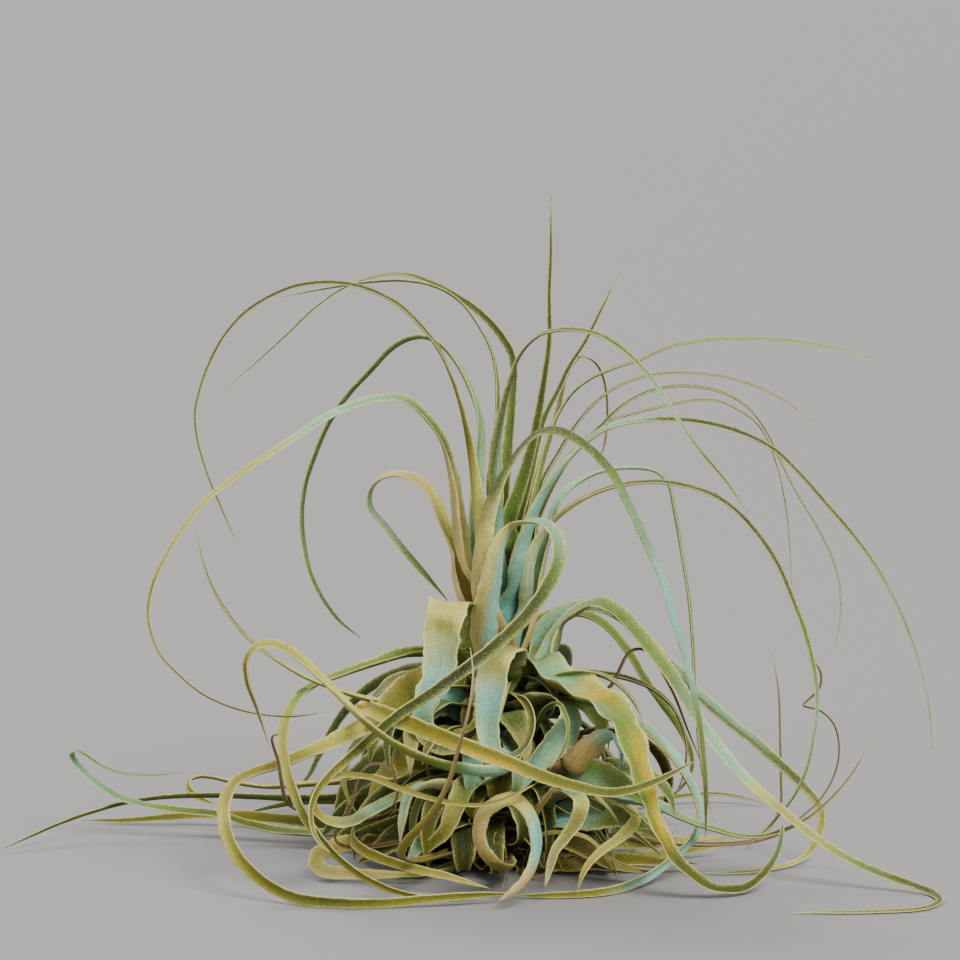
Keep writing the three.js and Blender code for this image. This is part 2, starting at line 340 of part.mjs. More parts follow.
    route: [[-2, 115, 8], [-1.5, 128, 10], [-1, 150, 14], [-1, 172, 20], [-3, 182, 22], [-7, 190, 23],
      [-15, 200, 24],
      [-27, 205.5, 26], [-42, 206, 28], [-58, 204, 30], [-77, 200.5, 32]] },
  { name: 'crown_right_arch', tone: 'mint', width: [5, 5, 4.2, 3.2, 2.6, 2.2, 1.8, 1.3, 0.8], roll: [0, 40],
    route: [[-1.5, 115, -8], [-2, 129, -7.5], [-2, 143, -7], [0, 157, -9], [3, 170, -12], [5.5, 178, -14],
      [9.5, 184, -16], [15, 188, -18], [23, 189, -21], [31, 188.5, -24], [38, 185.5, -27], [46, 179.5, -30],
      [55, 169, -33], [62, 158, -35], [67.5, 149.5, -36], [75, 141, -37], [83, 130.5, -38],
      [87, 124.5, -38]] },
  { name: 'crown_spike', tone: 'sage', width: [5, 4.5, 3, 2.2, 1.6, 1.2, 0.8], roll: [0, 30],
    route: [[3, 120, 6], [7, 134, 7], [12, 152, 6], [14.5, 167, 3], [16, 176, 2], [17, 184, 1],
      [17, 200, 0],
      [17.5, 217, 0], [17.5, 236, 0]] },
];

const UP = new THREE.Vector3(0, 0, 1);

// Value at share t of a list of values that are spread evenly along a leaf
function along(values, t) {
  const place = Math.min(Math.max(t, 0), 1) * (values.length - 1);
  const before = Math.min(Math.floor(place), values.length - 2);
  return THREE.MathUtils.lerp(values[before], values[before + 1], place - before);
}

// Radius of the stem at a height
function stemRadius(height) {
  const last = STEM_SIDE.length - 1;
  if (height <= STEM_SIDE[0][1]) return STEM_SIDE[0][0];
  if (height >= STEM_SIDE[last][1]) return 0;
  const upper = STEM_SIDE.findIndex((corner) => corner[1] > height);
  const [r0, z0] = STEM_SIDE[upper - 1];
  const [r1, z1] = STEM_SIDE[upper];
  return THREE.MathUtils.mapLinear(height, z0, z1, r0, r1);
}

// Moves a way point along its line of sight to its depth, or to the table if that is nearer
function wayPoint([across, up, depth]) {
  const seen = new THREE.Vector3(across, 0, up);
  const toDepth = (EYE.y - depth) / EYE.y;
  const toTable = (EYE.z - EDGE_THICKNESS) / (EYE.z - up);
  const share = up < EYE.z ? Math.min(toDepth, toTable) : toDepth;
  return EYE.clone().lerp(seen, share);
}

// Where leaf k of n leaves the stem, the direction that it leaves in, and how far it keeps that direction.
// Its root stands off the stem by no more than its own section needs.
function rootOf(leaf, k, n) {
  const azimuth = SPIRAL_START + k * SPIRAL_STEP;
  const height = THREE.MathUtils.lerp(LOWEST_ROOT, HIGHEST_ROOT, k / (n - 1));
  const radius = stemRadius(height);
  const outward = new THREE.Vector3(Math.cos(azimuth), Math.sin(azimuth), 0);
  const first = wayPoint(leaf.route[0]);
  const away = first.clone().sub(outward.clone().multiplyScalar(radius).setZ(height));
  const sideways = outward.x * away.y - outward.y * away.x;
  const wish = Math.atan2(sideways, outward.dot(away.clone().setZ(0)));
  const turn = THREE.MathUtils.clamp(wish, -MOST_TURN, MOST_TURN);
  const rise = THREE.MathUtils.clamp(Math.atan2(away.z, Math.hypot(away.x, away.y)), LEAST_RISE, MOST_RISE);
  const heading = azimuth + turn;
  const direction = new THREE.Vector3(Math.cos(heading), Math.sin(heading), Math.tan(rise)).normalize();
  const inward = (leaf.width[0] / 2) * Math.abs(Math.sin(turn));
  const across = (leaf.width[0] / 2) * Math.cos(turn);
  const cornerGap = inward - radius + Math.sqrt(Math.max(0, (radius + ROOT_GAP) ** 2 - across ** 2));
  const standOff = Math.max(ROOT_GAP, cornerGap) + RIB_THICKNESS * Math.abs(Math.sin(rise));
  const point = outward.multiplyScalar(radius + standOff).setZ(height);
  const reach = Math.min(LONGEST_ROOT, ROOT_SHARE * point.distanceTo(first));
  return { point, direction, reach };
}

// Stations along a leaf's way, closer together where it bends and where its edges ripple
function stationsOf(leaf, root) {
  const start = [root.point, root.point.clone().addScaledVector(root.direction, root.reach)];
  const way = new THREE.CatmullRomCurve3([...start, ...leaf.route.map(wayPoint)], false, 'centripetal');
  const samples = way.getSpacedPoints(CURVE_SAMPLES);
  const effort = [0];
  for (let i = 1; i < samples.length; i++) {
    const step = samples[i].distanceTo(samples[i - 1]);
    let bend = 0;
    if (i < samples.length - 1) {
      const before = samples[i].clone().sub(samples[i - 1]);
      bend = before.angleTo(samples[i + 1].clone().sub(samples[i]));
    }
    const ripple = leaf.wave ? (step * STATIONS_PER_WAVE) / leaf.wave[1] : 0;
    effort.push(effort[i - 1] + Math.max(step / STATION_LENGTH + bend / STATION_BEND, ripple));
  }
  const total = effort[effort.length - 1];
  const count = Math.ceil(total);
  const stations = [];
  for (let i = 0; i <= count; i++) {
    const goal = (i / count) * total;
    const next = Math.max(1, effort.findIndex((value) => value >= goal - TINY));
    const share = (goal - effort[next - 1]) / (effort[next] - effort[next - 1]);
    stations.push(samples[next - 1].clone().lerp(samples[next], share));
  }
  return stations;
}

// Direction of travel at each station
function tangentsOf(points, root) {
  return points.map((point, i) => {
    if (i === 0) return root.direction.clone();
    const next = points[Math.min(i + 1, points.length - 1)];
    return next.clone().sub(points[i - 1]).normalize();
  });
}

// Turns a direction from one tangent to the next without spinning it about the leaf
function carried(direction, from, to) {
  const turn = new THREE.Quaternion().setFromUnitVectors(from, to);
  return direction.clone().applyQuaternion(turn);
}

// Width and face directions at each station: the flat side turns to face the bend,
// as a strap's does, and the leaf's own roll is added
function framesOf(leaf, points, root) {
  const tangents = tangentsOf(points, root);
  const sides = [new THREE.Vector3().crossVectors(UP, root.direction).normalize()];
  for (let i = 1; i < points.length; i++) sides.push(carried(sides[i - 1], tangents[i - 1], tangents[i]));
  const faces = sides.map((side, i) => new THREE.Vector3().crossVectors(tangents[i], side));
  const bends = tangents.map((tangent, i) => {
    const after = tangents[Math.min(i + 1, tangents.length - 1)];
    return after.clone().sub(tangents[Math.max(i - 1, 0)]);
  });
  const wanted = bends.map((bend, i) => Math.atan2(-bend.dot(sides[i]), bend.dot(faces[i])));
  const stiffness = points.map((point, i) => {
    return i === 0 ? 0 : STATION_LENGTH / point.distanceTo(points[i - 1]);
  });
  const roll = points.map(() => 0);
  for (let round = 0; round < ROLL_ROUNDS; round++) {
    for (let i = 1; i < roll.length; i++) {
      const near = wanted[i] + Math.PI * Math.round((roll[i] - wanted[i]) / Math.PI);
      const pull = bends[i].lengthSq();
      const hold = stiffness[i];
      const next = stiffness[i + 1] ?? 0;
      const sum = hold * roll[i - 1] + next * (roll[i + 1] ?? 0) + pull * near;
      roll[i] = sum / (hold + next + pull);
    }
  }
  return points.map((point, i) => {
    const t = i / (points.length - 1);
    const angle = roll[i] + THREE.MathUtils.degToRad(along(leaf.roll, t));
    const side = sides[i].clone().multiplyScalar(Math.cos(angle)).addScaledVector(faces[i], Math.sin(angle));
    const face = new THREE.Vector3().crossVectors(tangents[i], side);
    return { side, face };
  });
}

function renewFrames(leaf) {
  leaf.frames = framesOf(leaf, leaf.points, leaf.root);
}

// Points over a leaf that are kept away from the points of other leaves
function touchPoints(leaf) {
  const touches = [];
  for (let i = 0; i < leaf.points.length - 1; i++) {
    const from = leaf.points[i];
    const to = leaf.points[i + 1];
    const parts = Math.max(1, Math.ceil(from.distanceTo(to) / TOUCH_STEP));
    for (let j = 0; j < parts; j++) {
      const share = j / parts;
      const width = THREE.MathUtils.lerp(leaf.widths[i], leaf.widths[i + 1], share);
      const reach = Math.max(0, width / 2 - TOUCH_MARGIN);
      const lanes = reach > TOUCH_MARGIN ? [-1, 0, 1] : [0];
      for (const lane of lanes) {
        const point = from.clone().lerp(to, share).addScaledVector(leaf.frames[i].side, lane * reach);
        touches.push({ leaf, i, share, point });
      }
    }
  }
  return touches;
}

// One number for each cube of space
function cubeName(x, y, z) {
  const middle = CUBES_EACH_WAY / 2;
  return ((x + middle) * CUBES_EACH_WAY + y + middle) * CUBES_EACH_WAY + z + middle;
}

// Touch points sorted into cubes as wide as the leaf spacing
function intoCubes(touches) {
  const cubes = new Map();
  for (const touch of touches) {
    touch.cube = touch.point.toArray().map((place) => Math.floor(place / LEAF_SPACING));
    const name = cubeName(...touch.cube);
    if (!cubes.has(name)) cubes.set(name, []);
    cubes.get(name).push(touch);
  }
  return cubes;
}

const STEPS = [-1, 0, 1];
const NEIGHBOUR_CUBES = STEPS.flatMap((x) => STEPS.flatMap((y) => STEPS.map((z) => [x, y, z])));

// Calls back with each two touch points that are closer than the leaf spacing
function forEachClose(touches, callback) {
  const cubes = intoCubes(touches);
  for (const one of touches) {
    const [x, y, z] = one.cube;
    for (const [dx, dy, dz] of NEIGHBOUR_CUBES) {
      const close = cubes.get(cubeName(x + dx, y + dy, z + dz)) ?? [];
      for (const other of close) callback(one, other);
    }
  }
}

// Moves each leaf out of the others' way, most of it along the line of sight, so that
// the plant looks the same from the eye. The root stays where it is.
function clearLeaves(leaves) {
  for (let round = 0; round < CLEARING_ROUNDS; round++) {
    if (round % ROUNDS_PER_NEW_FRAME === 0) leaves.forEach(renewFrames);
    for (const leaf of leaves) leaf.moves = leaf.points.map(() => new THREE.Vector3());
    const touches = leaves.flatMap(touchPoints);
    touches.forEach(pushOffStem);
    forEachClose(touches, (one, other) => {
      if (one.leaf === other.leaf && Math.abs(one.i - other.i) < OWN_STATIONS_APART) return;
      const apart = one.point.clone().sub(other.point);
      const distance = apart.length();
      if (distance >= LEAF_SPACING || distance < TINY) return;
      const sight = EYE.clone().sub(one.point).normalize();
      apart.addScaledVector(sight, SIGHT_BIAS * Math.sign(apart.dot(sight)) * distance);
      pushTouch(one, apart.setLength((LEAF_SPACING - distance) * CLEARING_SHARE));
    });
    leaves.forEach(moveLeaf);
  }
}

// Shares a push at a touch point between the stations on both sides of it
function pushTouch(touch, way) {
  for (const [index, weight] of [[touch.i, 1 - touch.share], [touch.i + 1, touch.share]]) {
    const move = touch.leaf.moves[index];
    const push = way.clone().multiplyScalar(weight);
    if (push.lengthSq() > move.lengthSq()) move.copy(push);
  }
}

// Pushes a touch point away from the stem's axis where it is too near the stem
function pushOffStem(touch) {
  const { x, y, z } = touch.point;
  const distance = Math.hypot(x, y);
  const missing = stemRadius(z) + STEM_CLEARANCE - distance;
  if (stemRadius(z) === 0 || missing <= 0) return;
  pushTouch(touch, new THREE.Vector3(x, y, 0).setLength(missing));
}

// Applies a leaf's moves, smoothed along it, and keeps it off the table
function moveLeaf(leaf) {
  const smooth = leaf.moves.map((move, i) => {
    const before = leaf.moves[Math.max(i - 1, 0)];
    const after = leaf.moves[Math.min(i + 1, leaf.moves.length - 1)];
    return move.clone().multiplyScalar(2).add(before).add(after).divideScalar(4);
  });
  leaf.points.forEach((point, i) => {
    if (i < 2) return;
    point.add(smooth[i]);
    const sight = EYE.clone().sub(point).normalize();
    const back = leaf.home[i].clone().sub(point);
    back.addScaledVector(sight, -back.dot(sight));
    point.addScaledVector(back, HOLD_SHAPE);
    const drop = Math.abs(leaf.frames[i].side.z) * leaf.widths[i] * 0.5;
    const ripple = leaf.wave ? leaf.wave[0] : 0;
    const lowest = TABLE_GAP + NARROW_THICKNESS / 2 + drop + ripple;
    if (point.z < lowest) point.z = lowest;
  });
}

// Corners of a leaf's section at a station, raised where they would be below the table
function sectionOf(leaf, i) {
  const corners = cornersOf(leaf, i);
  const lowest = Math.min(...corners.map((corner) => corner.z));
  const lift = Math.max(0, TABLE_GAP - lowest);
  corners.forEach((corner) => { corner.z += lift; });
  return corners;
}

// Corners of a leaf's section at a station, in order round it
function cornersOf(leaf, i) {
  const { side, face } = leaf.frames[i];
  const half = leaf.widths[i] / 2;
  const corner = (across, above) => {
    return leaf.points[i].clone().addScaledVector(side, across).addScaledVector(face, above);
  };
  if (!leaf.channelled) {
    const rise = NARROW_THICKNESS / 2;
    const under = half * UNDERSIDE_SHARE;
    return [corner(-half, rise), corner(half, rise), corner(under, -rise), corner(-under, -rise)];
  }
  const rim = EDGE_THICKNESS / 2;
  const rib = RIB_THICKNESS / 2;
  const sag = CHANNEL_DEPTH * leaf.widths[i];
  const [left, right] = ripplesOf(leaf, i);
  return [
    corner(-half, sag / 2 + left + rim), corner(0, -sag / 2 + rib), corner(half, sag / 2 + right + rim),
    corner(half, sag / 2 + right - rim), corner(0, -sag / 2 - rib), corner(-half, sag / 2 + left - rim),
  ];
}

// Lift of the left and right edges at a station of a rippled leaf
function ripplesOf(leaf, i) {
  if (!leaf.wave) return [0, 0];
  const [height, length] = leaf.wave;
  const narrow = Math.min(1, leaf.widths[i] / Math.max(...leaf.widths));
  const fade = narrow * Math.min(1, i / RIPPLE_START_STATIONS);
  const phase = (2 * Math.PI * leaf.travelled[i]) / length;
  return [height * fade * Math.sin(phase), height * fade * Math.sin(phase * RIPPLE_RATE + RIPPLE_LAG)];
}

// A closed blade through a leaf's sections, ending in a point
function bladeGeometry(leaf) {
  const last = leaf.points.length - 1;
  const sections = leaf.points.slice(0, last).map((point, i) => sectionOf(leaf, i));
  const sides = sections[0].length;
  const positions = [...sections.flat(), leaf.points[last]].flatMap((corner) => corner.toArray());
  const faces = [];
  for (let i = 0; i < sections.length - 1; i++) {
    for (let j = 0; j < sides; j++) {
      const here = i * sides + j;
      const beside = i * sides + ((j + 1) % sides);
      // Both faces of the blade are divided by the same diagonals, so that they fold alike
      if (j < sides / 2) faces.push(here, here + sides, beside + sides, here, beside + sides, beside);
      else faces.push(here, here + sides, beside, beside, here + sides, beside + sides);
    }
  }
  // The base is divided from the middle of the upper face, which is the section's inward corner
  for (let j = 2; j < sides; j++) faces.push(1, j, (j + 1) % sides);
  const tip = positions.length / 3 - 1;
  const rim = (sections.length - 1) * sides;
  for (let j = 0; j < sides; j++) faces.push(rim + j, tip, rim + ((j + 1) % sides));
  const geometry = new THREE.BufferGeometry();
  geometry.setAttribute('position', new THREE.Float32BufferAttribute(positions, 3));
  geometry.setIndex(faces);
  return geometry;
}

// Every leaf with its root, stations, widths and frames
function grownLeaves() {
  const leaves = LEAVES.map((leaf, k) => {
    const root = rootOf(leaf, k, LEAVES.length);
    const points = stationsOf(leaf, root);
    const home = points.map((point) => point.clone());
    const travelled = [0];
    points.slice(1).forEach((point, i) => travelled.push(travelled[i] + point.distanceTo(points[i])));
    const length = travelled[travelled.length - 1];
    const widths = travelled.map((distance) => along(leaf.width, distance / length));
    const channelled = Math.max(...leaf.width) > CHANNEL_FROM_WIDTH;
    return { ...leaf, root, points, home, travelled, widths, channelled };
  });
  clearLeaves(leaves);
  leaves.forEach(renewFrames);
  return leaves;
}

// The stem, a turned solid with a flat foot and a closed top
function stemGeometry() {
  const outline = [[0, 0], ...STEM_SIDE, [0, STEM_SIDE[STEM_SIDE.length - 1][1]]];
  const lathe = new THREE.LatheGeometry(outline.map(([r, z]) => new THREE.Vector2(r, z)), STEM_FACETS);
  return lathe.rotateX(Math.PI / 2);
}

function namedMesh(name, geometry, tone) {
  geometry.computeVertexNormals();
  const material = new THREE.MeshStandardMaterial({ ...tone, metalness: 0 });
  const mesh = new THREE.Mesh(geometry, material);
  mesh.name = name;
  return mesh;
}

const plant = new THREE.Group();
plant.add(namedMesh('stem', stemGeometry(), STEM_TONE));
for (const leaf of grownLeaves()) {
  plant.add(namedMesh(leaf.name, bladeGeometry(leaf), TONES[leaf.tone]));
}

export default plant;
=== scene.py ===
"""The looks of an air plant: fine curling leaves, their pale scaly edges and the old stem.

Every leaf is a new surface that follows the lines of its packed leaf, so it stays where that one is.
Lengths are in metres, +Z is up and the plant is looked at from -Y.
"""

import json
import logging
import math
from dataclasses import dataclass
from enum import Enum
from typing import Any, Sequence

import bmesh
import bpy
import numpy as np
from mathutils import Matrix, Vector


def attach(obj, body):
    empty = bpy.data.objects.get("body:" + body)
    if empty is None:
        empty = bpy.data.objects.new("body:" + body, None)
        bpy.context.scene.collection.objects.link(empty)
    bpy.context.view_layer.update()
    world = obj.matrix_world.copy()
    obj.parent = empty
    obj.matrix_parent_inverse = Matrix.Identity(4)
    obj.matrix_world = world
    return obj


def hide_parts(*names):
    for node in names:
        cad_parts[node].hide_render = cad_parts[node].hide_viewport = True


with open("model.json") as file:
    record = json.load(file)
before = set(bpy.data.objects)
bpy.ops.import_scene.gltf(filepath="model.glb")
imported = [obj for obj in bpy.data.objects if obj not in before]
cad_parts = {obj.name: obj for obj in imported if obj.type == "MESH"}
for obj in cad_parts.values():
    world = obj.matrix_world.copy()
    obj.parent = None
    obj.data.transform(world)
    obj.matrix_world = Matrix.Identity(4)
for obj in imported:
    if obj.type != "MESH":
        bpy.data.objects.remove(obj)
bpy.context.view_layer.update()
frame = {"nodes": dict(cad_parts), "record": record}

LOG = logging.getLogger("air_plant")
MM = 0.001
SEED = 41
WELD_DISTANCE = 0.01 * MM
DECIMALS = 6
TINY = 1e-12

# Corners in a packed leaf's section: without and with a rib along its middle
FLAT_SECTION = 4
RIBBED_SECTION = 6

# How a leaf widens and deepens towards the stem, and where it comes free of it
FLARE = 0.34
FLARE_LENGTH = 26 * MM
BASE_CHANNEL = 0.3
DEEPEST_AT = 15 * MM
FREE_FROM = 5 * MM

# Share of a leaf's width where its left half's tones, with their painted light, start to give way to its
# right half's
CHANGE_FROM = 0.25

# Depth of a leaf's channel as a share of its width, and how fast it flattens where the leaf bends
RIBBED_CHANNEL = 0.07
FLAT_CHANNEL = 0.22
FLATTENING = 1.2

Array = np.ndarray
Colour = tuple[float, float, float]
Place = tuple[float, float, float]


class Tone(Enum):
    """The colours that a leaf passes through, as 8-bit display values."""

    AQUA = (132, 208, 196)
    MINT = (148, 200, 160)
    SAGE = (108, 136, 50)
    OLIVE = (76, 86, 8)
    MOSS = (42, 54, 8)
    OCHRE = (130, 122, 18)
    GOLD = (190, 164, 28)
    STRAW = (200, 192, 92)
    TAN = (206, 176, 104)
    PALE = (216, 196, 156)
    RUST = (128, 84, 36)
    BARK = (58, 42, 20)
    DRY = (122, 98, 64)

    def linear(self) -> Array:
        """Returns the colour as linear red, green and blue."""
        return linear_colour(self.value)

    def shaded(self, light: float = 1.0) -> Colour:
        """Returns the linear colour in a share of the light, as a socket takes it."""
        return tuple(self.linear() * light)


def linear_colour(display: Sequence[float]) -> Array:
    """Turns a display colour into a linear one, by the sRGB curve.

    Args:
        display: Red, green and blue from 0 to 255.

    Returns:
        Red, green and blue from 0 to 1, linear.
    """
    share = np.asarray(display, float) / 255
    return np.where(share <= 0.04045, share / 12.92, ((share + 0.055) / 1.055) ** 2.4)


def display_colour(red: float, green: float, blue: float) -> Colour:
    """Returns an 8-bit display colour as a linear one that a socket takes."""
    return tuple(linear_colour((red, green, blue)))


@dataclass(frozen=True)
class Look:
    """The tones of a leaf's upper and under faces as words, evenly spaced from its root to its tip.

    A slash parts the tones of a face's left half from those of its right half, which paint how each half
    is lit: warm tan light on one side and cool aqua light on the other, or a shaded half beside a lit
    one. A leaf without tones for its under face has the same on both.
    """

    upper: str
    under: str = ""

    @staticmethod
    def along(words: str, share: Array) -> Array:
        """Blends a face's tones along a leaf.

        Args:
            words: The face's tones.
            share: Places along the leaf from 0 to 1.

        Returns:
            Linear colours by place, for the left half and the right half.
        """
        halves = words.split("/")
        sides = []
        for half in (halves[0], halves[-1]):
            colours = np.array([Tone[word.upper()].linear() for word in half.split()])
            stops = np.linspace(0, 1, len(colours))
            sides.append(np.stack([np.interp(share, stops, channel) for channel in colours.T], axis=1))
        return np.stack(sides, axis=1)


def smooth(share: Array) -> Array:
    """Eases a share between 0 and 1: three times its square less twice its cube."""
    return share * share * (3 - 2 * share)


def wander(seed: int, distance: Array, wavelength: float) -> Array:
    """Smooth random values along a length: random knots a wavelength apart, eased into each other.

    Args:
        seed: Picks the knots.
        distance: Where the values are wanted, in metres.
        wavelength: Distance between knots, in metres.

    Returns:
        Values from -1 to 1, one for each distance.
    """
    place = np.maximum(distance, 0) / wavelength
    before = place.astype(int)
    knots = np.random.default_rng(seed).uniform(-1, 1, before.max() + 2)
    ease = smooth(place - before)
    return knots[before] * (1 - ease) + knots[before + 1] * ease


def eased(stations: Array, values: Array, wanted: Array) -> Array:
    """Cubic curve through values: each stretch is a Hermite cubic whose end slopes are the local ones.

    Args:
        stations: Increasing distances of the values.
        values: One row for each station.
        wanted: Distances to work the curve out at.

    Returns:
        One row for each wanted distance.
    """
    slopes = np.gradient(values, stations, axis=0)
    before = np.clip(np.searchsorted(stations, wanted, side="right") - 1, 0, len(stations) - 2)
    gap = (stations[before + 1] - stations[before])[:, None]
    t = (wanted - stations[before])[:, None] / gap
    return (
        (2 * t**3 - 3 * t**2 + 1) * values[before]
        + (t**3 - 2 * t**2 + t) * gap * slopes[before]
        + (3 * t**2 - 2 * t**3) * values[before + 1]
        + (t**3 - t**2) * gap * slopes[before + 1]
    )


def unit(vectors: Array) -> Array:
    """Returns the vectors at length 1."""
    length = np.linalg.norm(vectors, axis=-1, keepdims=True)
    return vectors / np.maximum(length, TINY)


def distance_along(path: Array) -> Array:
    """Length along a path to each of its points: the running sum of its steps."""
    return np.append(0, np.linalg.norm(np.diff(path, axis=0), axis=1).cumsum())


def headed_path(root: Array, pitch: Array, heading: Array, length: float) -> tuple[Array, Array]:
    """A path of even steps, each of them along its own heading and pitch.

    Args:
        root: Its first point.
        pitch: Angle above level at each point.
        heading: Angle round the upright at each point.
        length: Its length.

    Returns:
        The path's points, and its direction at each.
    """
    level = np.cos(pitch)
    tangent = np.stack([level * np.cos(heading), level * np.sin(heading), np.sin(pitch)], axis=1)
    steps = np.vstack([np.zeros(3), tangent[:-1].cumsum(0)])
    return root + steps * length / (len(pitch) - 1), tangent


def tube_quads(rows: int, ring: int) -> Array:
    """Quads between neighbouring rings of points, each from a point to the one beside it and on.

    Args:
        rows: Number of rings.
        ring: Points in a ring.

    Returns:
        Four corners a quad.
    """
    row, place = np.meshgrid(np.arange(rows - 1), np.arange(ring), indexing="ij")
    here = row * ring + place
    beside = row * ring + (place + 1) % ring
    return np.stack([here, beside, beside + ring, here + ring], axis=-1).reshape(-1, 4)


class WeldedNode:
    """A packed leaf's corners and triangles, with the corners that meet made one."""

    def __init__(self, node: bpy.types.Object) -> None:
        """Reads and welds a copy of the node's mesh.

        Args:
            node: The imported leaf, which stays as it is.
        """
        shape = bmesh.new()
        shape.from_mesh(node.data)
        bmesh.ops.remove_doubles(shape, verts=shape.verts, dist=WELD_DISTANCE)
        shape.verts.index_update()
        self.name = node.name
        self.corners = np.array([vertex.co[:] for vertex in shape.verts])
        triangles = [[vertex.index for vertex in face.verts] for face in shape.faces]
        shape.free()
        self.next_corner = {}
        self.beside = [set() for _ in self.corners]
        for triangle in triangles:
            for a, b, c in (triangle, triangle[1:] + triangle[:1], triangle[2:] + triangle[:2]):
                self.next_corner[a, b] = c
                self.beside[a].update((b, c))

    def levels(self, start: int) -> list[set[int]]:
        """Corners by their number of steps from a start corner."""
        found = [{start}]
        seen = {start}
        while found[-1]:
            ahead = {other for corner in found[-1] for other in self.beside[corner]} - seen
            seen |= ahead
            found.append(ahead)
        return found[:-1]

    def rings(self) -> tuple[list[list[int]], int]:
        """Finds the leaf's tip and its section rings, from the root to the tip.

        The tip is the corner from which every step reaches one whole ring. The first corner of a
        ring is the only one that is joined to three corners of the next ring.

        Returns:
            The rings, each from left to right over the upper face and back under it, and the tip.
        """
        for tip in range(len(self.corners)):
            sides = len(self.beside[tip])
            if sides not in (FLAT_SECTION, RIBBED_SECTION):
                continue
            levels = self.levels(tip)
            if all(len(level) == sides for level in levels[1:]):
                return self.ordered(levels[:0:-1], tip), tip
        raise ValueError(f"{self.name} is not a blade that ends in a tip")

    def ordered(self, rings: list[set[int]], tip: int) -> list[list[int]]:
        """Puts each ring's corners in the same order.

        Args:
            rings: The rings' corners, from the root on.
            tip: The tip corner.

        Returns:
            The rings as lists that start with the upper face's left corner.
        """
        ahead = rings[1:] + [{tip}]
        first = next(corner for corner in rings[0] if len(self.beside[corner] & ahead[0]) == 3)
        found = []
        for ring, following in zip(rings, ahead):
            walk = [first]
            while len(walk) < len(ring):
                here = walk[-1]
                near = self.beside[here] & ring
                walk.append(next(c for c in near if self.next_corner.get((c, here)) in following))
            found.append(walk)
            if len(following) > 1:
                sides = (self.beside[walk[1]] | self.beside[walk[-1]]) & following
                first = next(iter((self.beside[first] & following) - sides))
        return found


@dataclass
class StemProfile:
    """The stem's radius by height, and how a leaf's base clasps it."""

    heights: Array
    radii: Array
    sheath_length: float = 15 * MM
    lowest: float = 0.8 * MM
    stand_off: float = 0.2 * MM
    lift: float = 2.2 * MM
    lift_power: float = 1.6
    top_gap: float = 2.5 * MM
    widest_half_angle: float = 1.25
    widening: float = 0.95
    least_half_width: float = 3.4 * MM
    rows: int = 5

    @classmethod
    def of(cls, stem: WeldedNode) -> "StemProfile":
        """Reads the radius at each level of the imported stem."""
        height = stem.corners[:, 2]
        radius = np.hypot(stem.corners[:, 0], stem.corners[:, 1])
        levels = np.unique(height.round(DECIMALS))
        outer = [radius[np.abs(height - level) < WELD_DISTANCE].max() for level in levels]
        return cls(levels, np.array(outer))

    def surface(self, azimuth: float, height: float, depth: float = 0.0) -> Array:
        """Point on the stem at an azimuth and a height, or at a depth under its surface."""
        radius = np.interp(height, self.heights, self.radii) - depth
        return np.array([radius * math.cos(azimuth), radius * math.sin(azimuth), height])

    def sheath(self, root: Array, width: float) -> tuple[Array, Array, Array, Array]:
        """Lines of the part of a leaf that clasps the stem below its root.

        Each row is an arc about the stem that stands further off the higher it is.

        Args:
            root: The leaf's root.
            width: The leaf's width there.

        Returns:
            Left edge, middle, right edge and facing direction, one row for each height.
        """
        azimuth = math.atan2(root[1], root[0])
        top = root[2] - self.top_gap
        bottom = max(root[2] - self.sheath_length, self.lowest)
        share = np.linspace(0, 1, self.rows)
        z = bottom + (top - bottom) * share
        radius = np.interp(z, self.heights, self.radii) + self.stand_off
        radius += self.lift * share**self.lift_power
        half_width = max(width * self.widening, self.least_half_width)
        half = np.minimum(half_width / radius, self.widest_half_angle)
        lines = []
        for sign in (-1, 0, 1):
            angle = azimuth + sign * half
            lines.append(np.stack([radius * np.cos(angle), radius * np.sin(angle), z], axis=1))
        face = np.tile([-math.cos(azimuth), -math.sin(azimuth), 0], (self.rows, 1))
        return lines[0], lines[1], lines[2], face


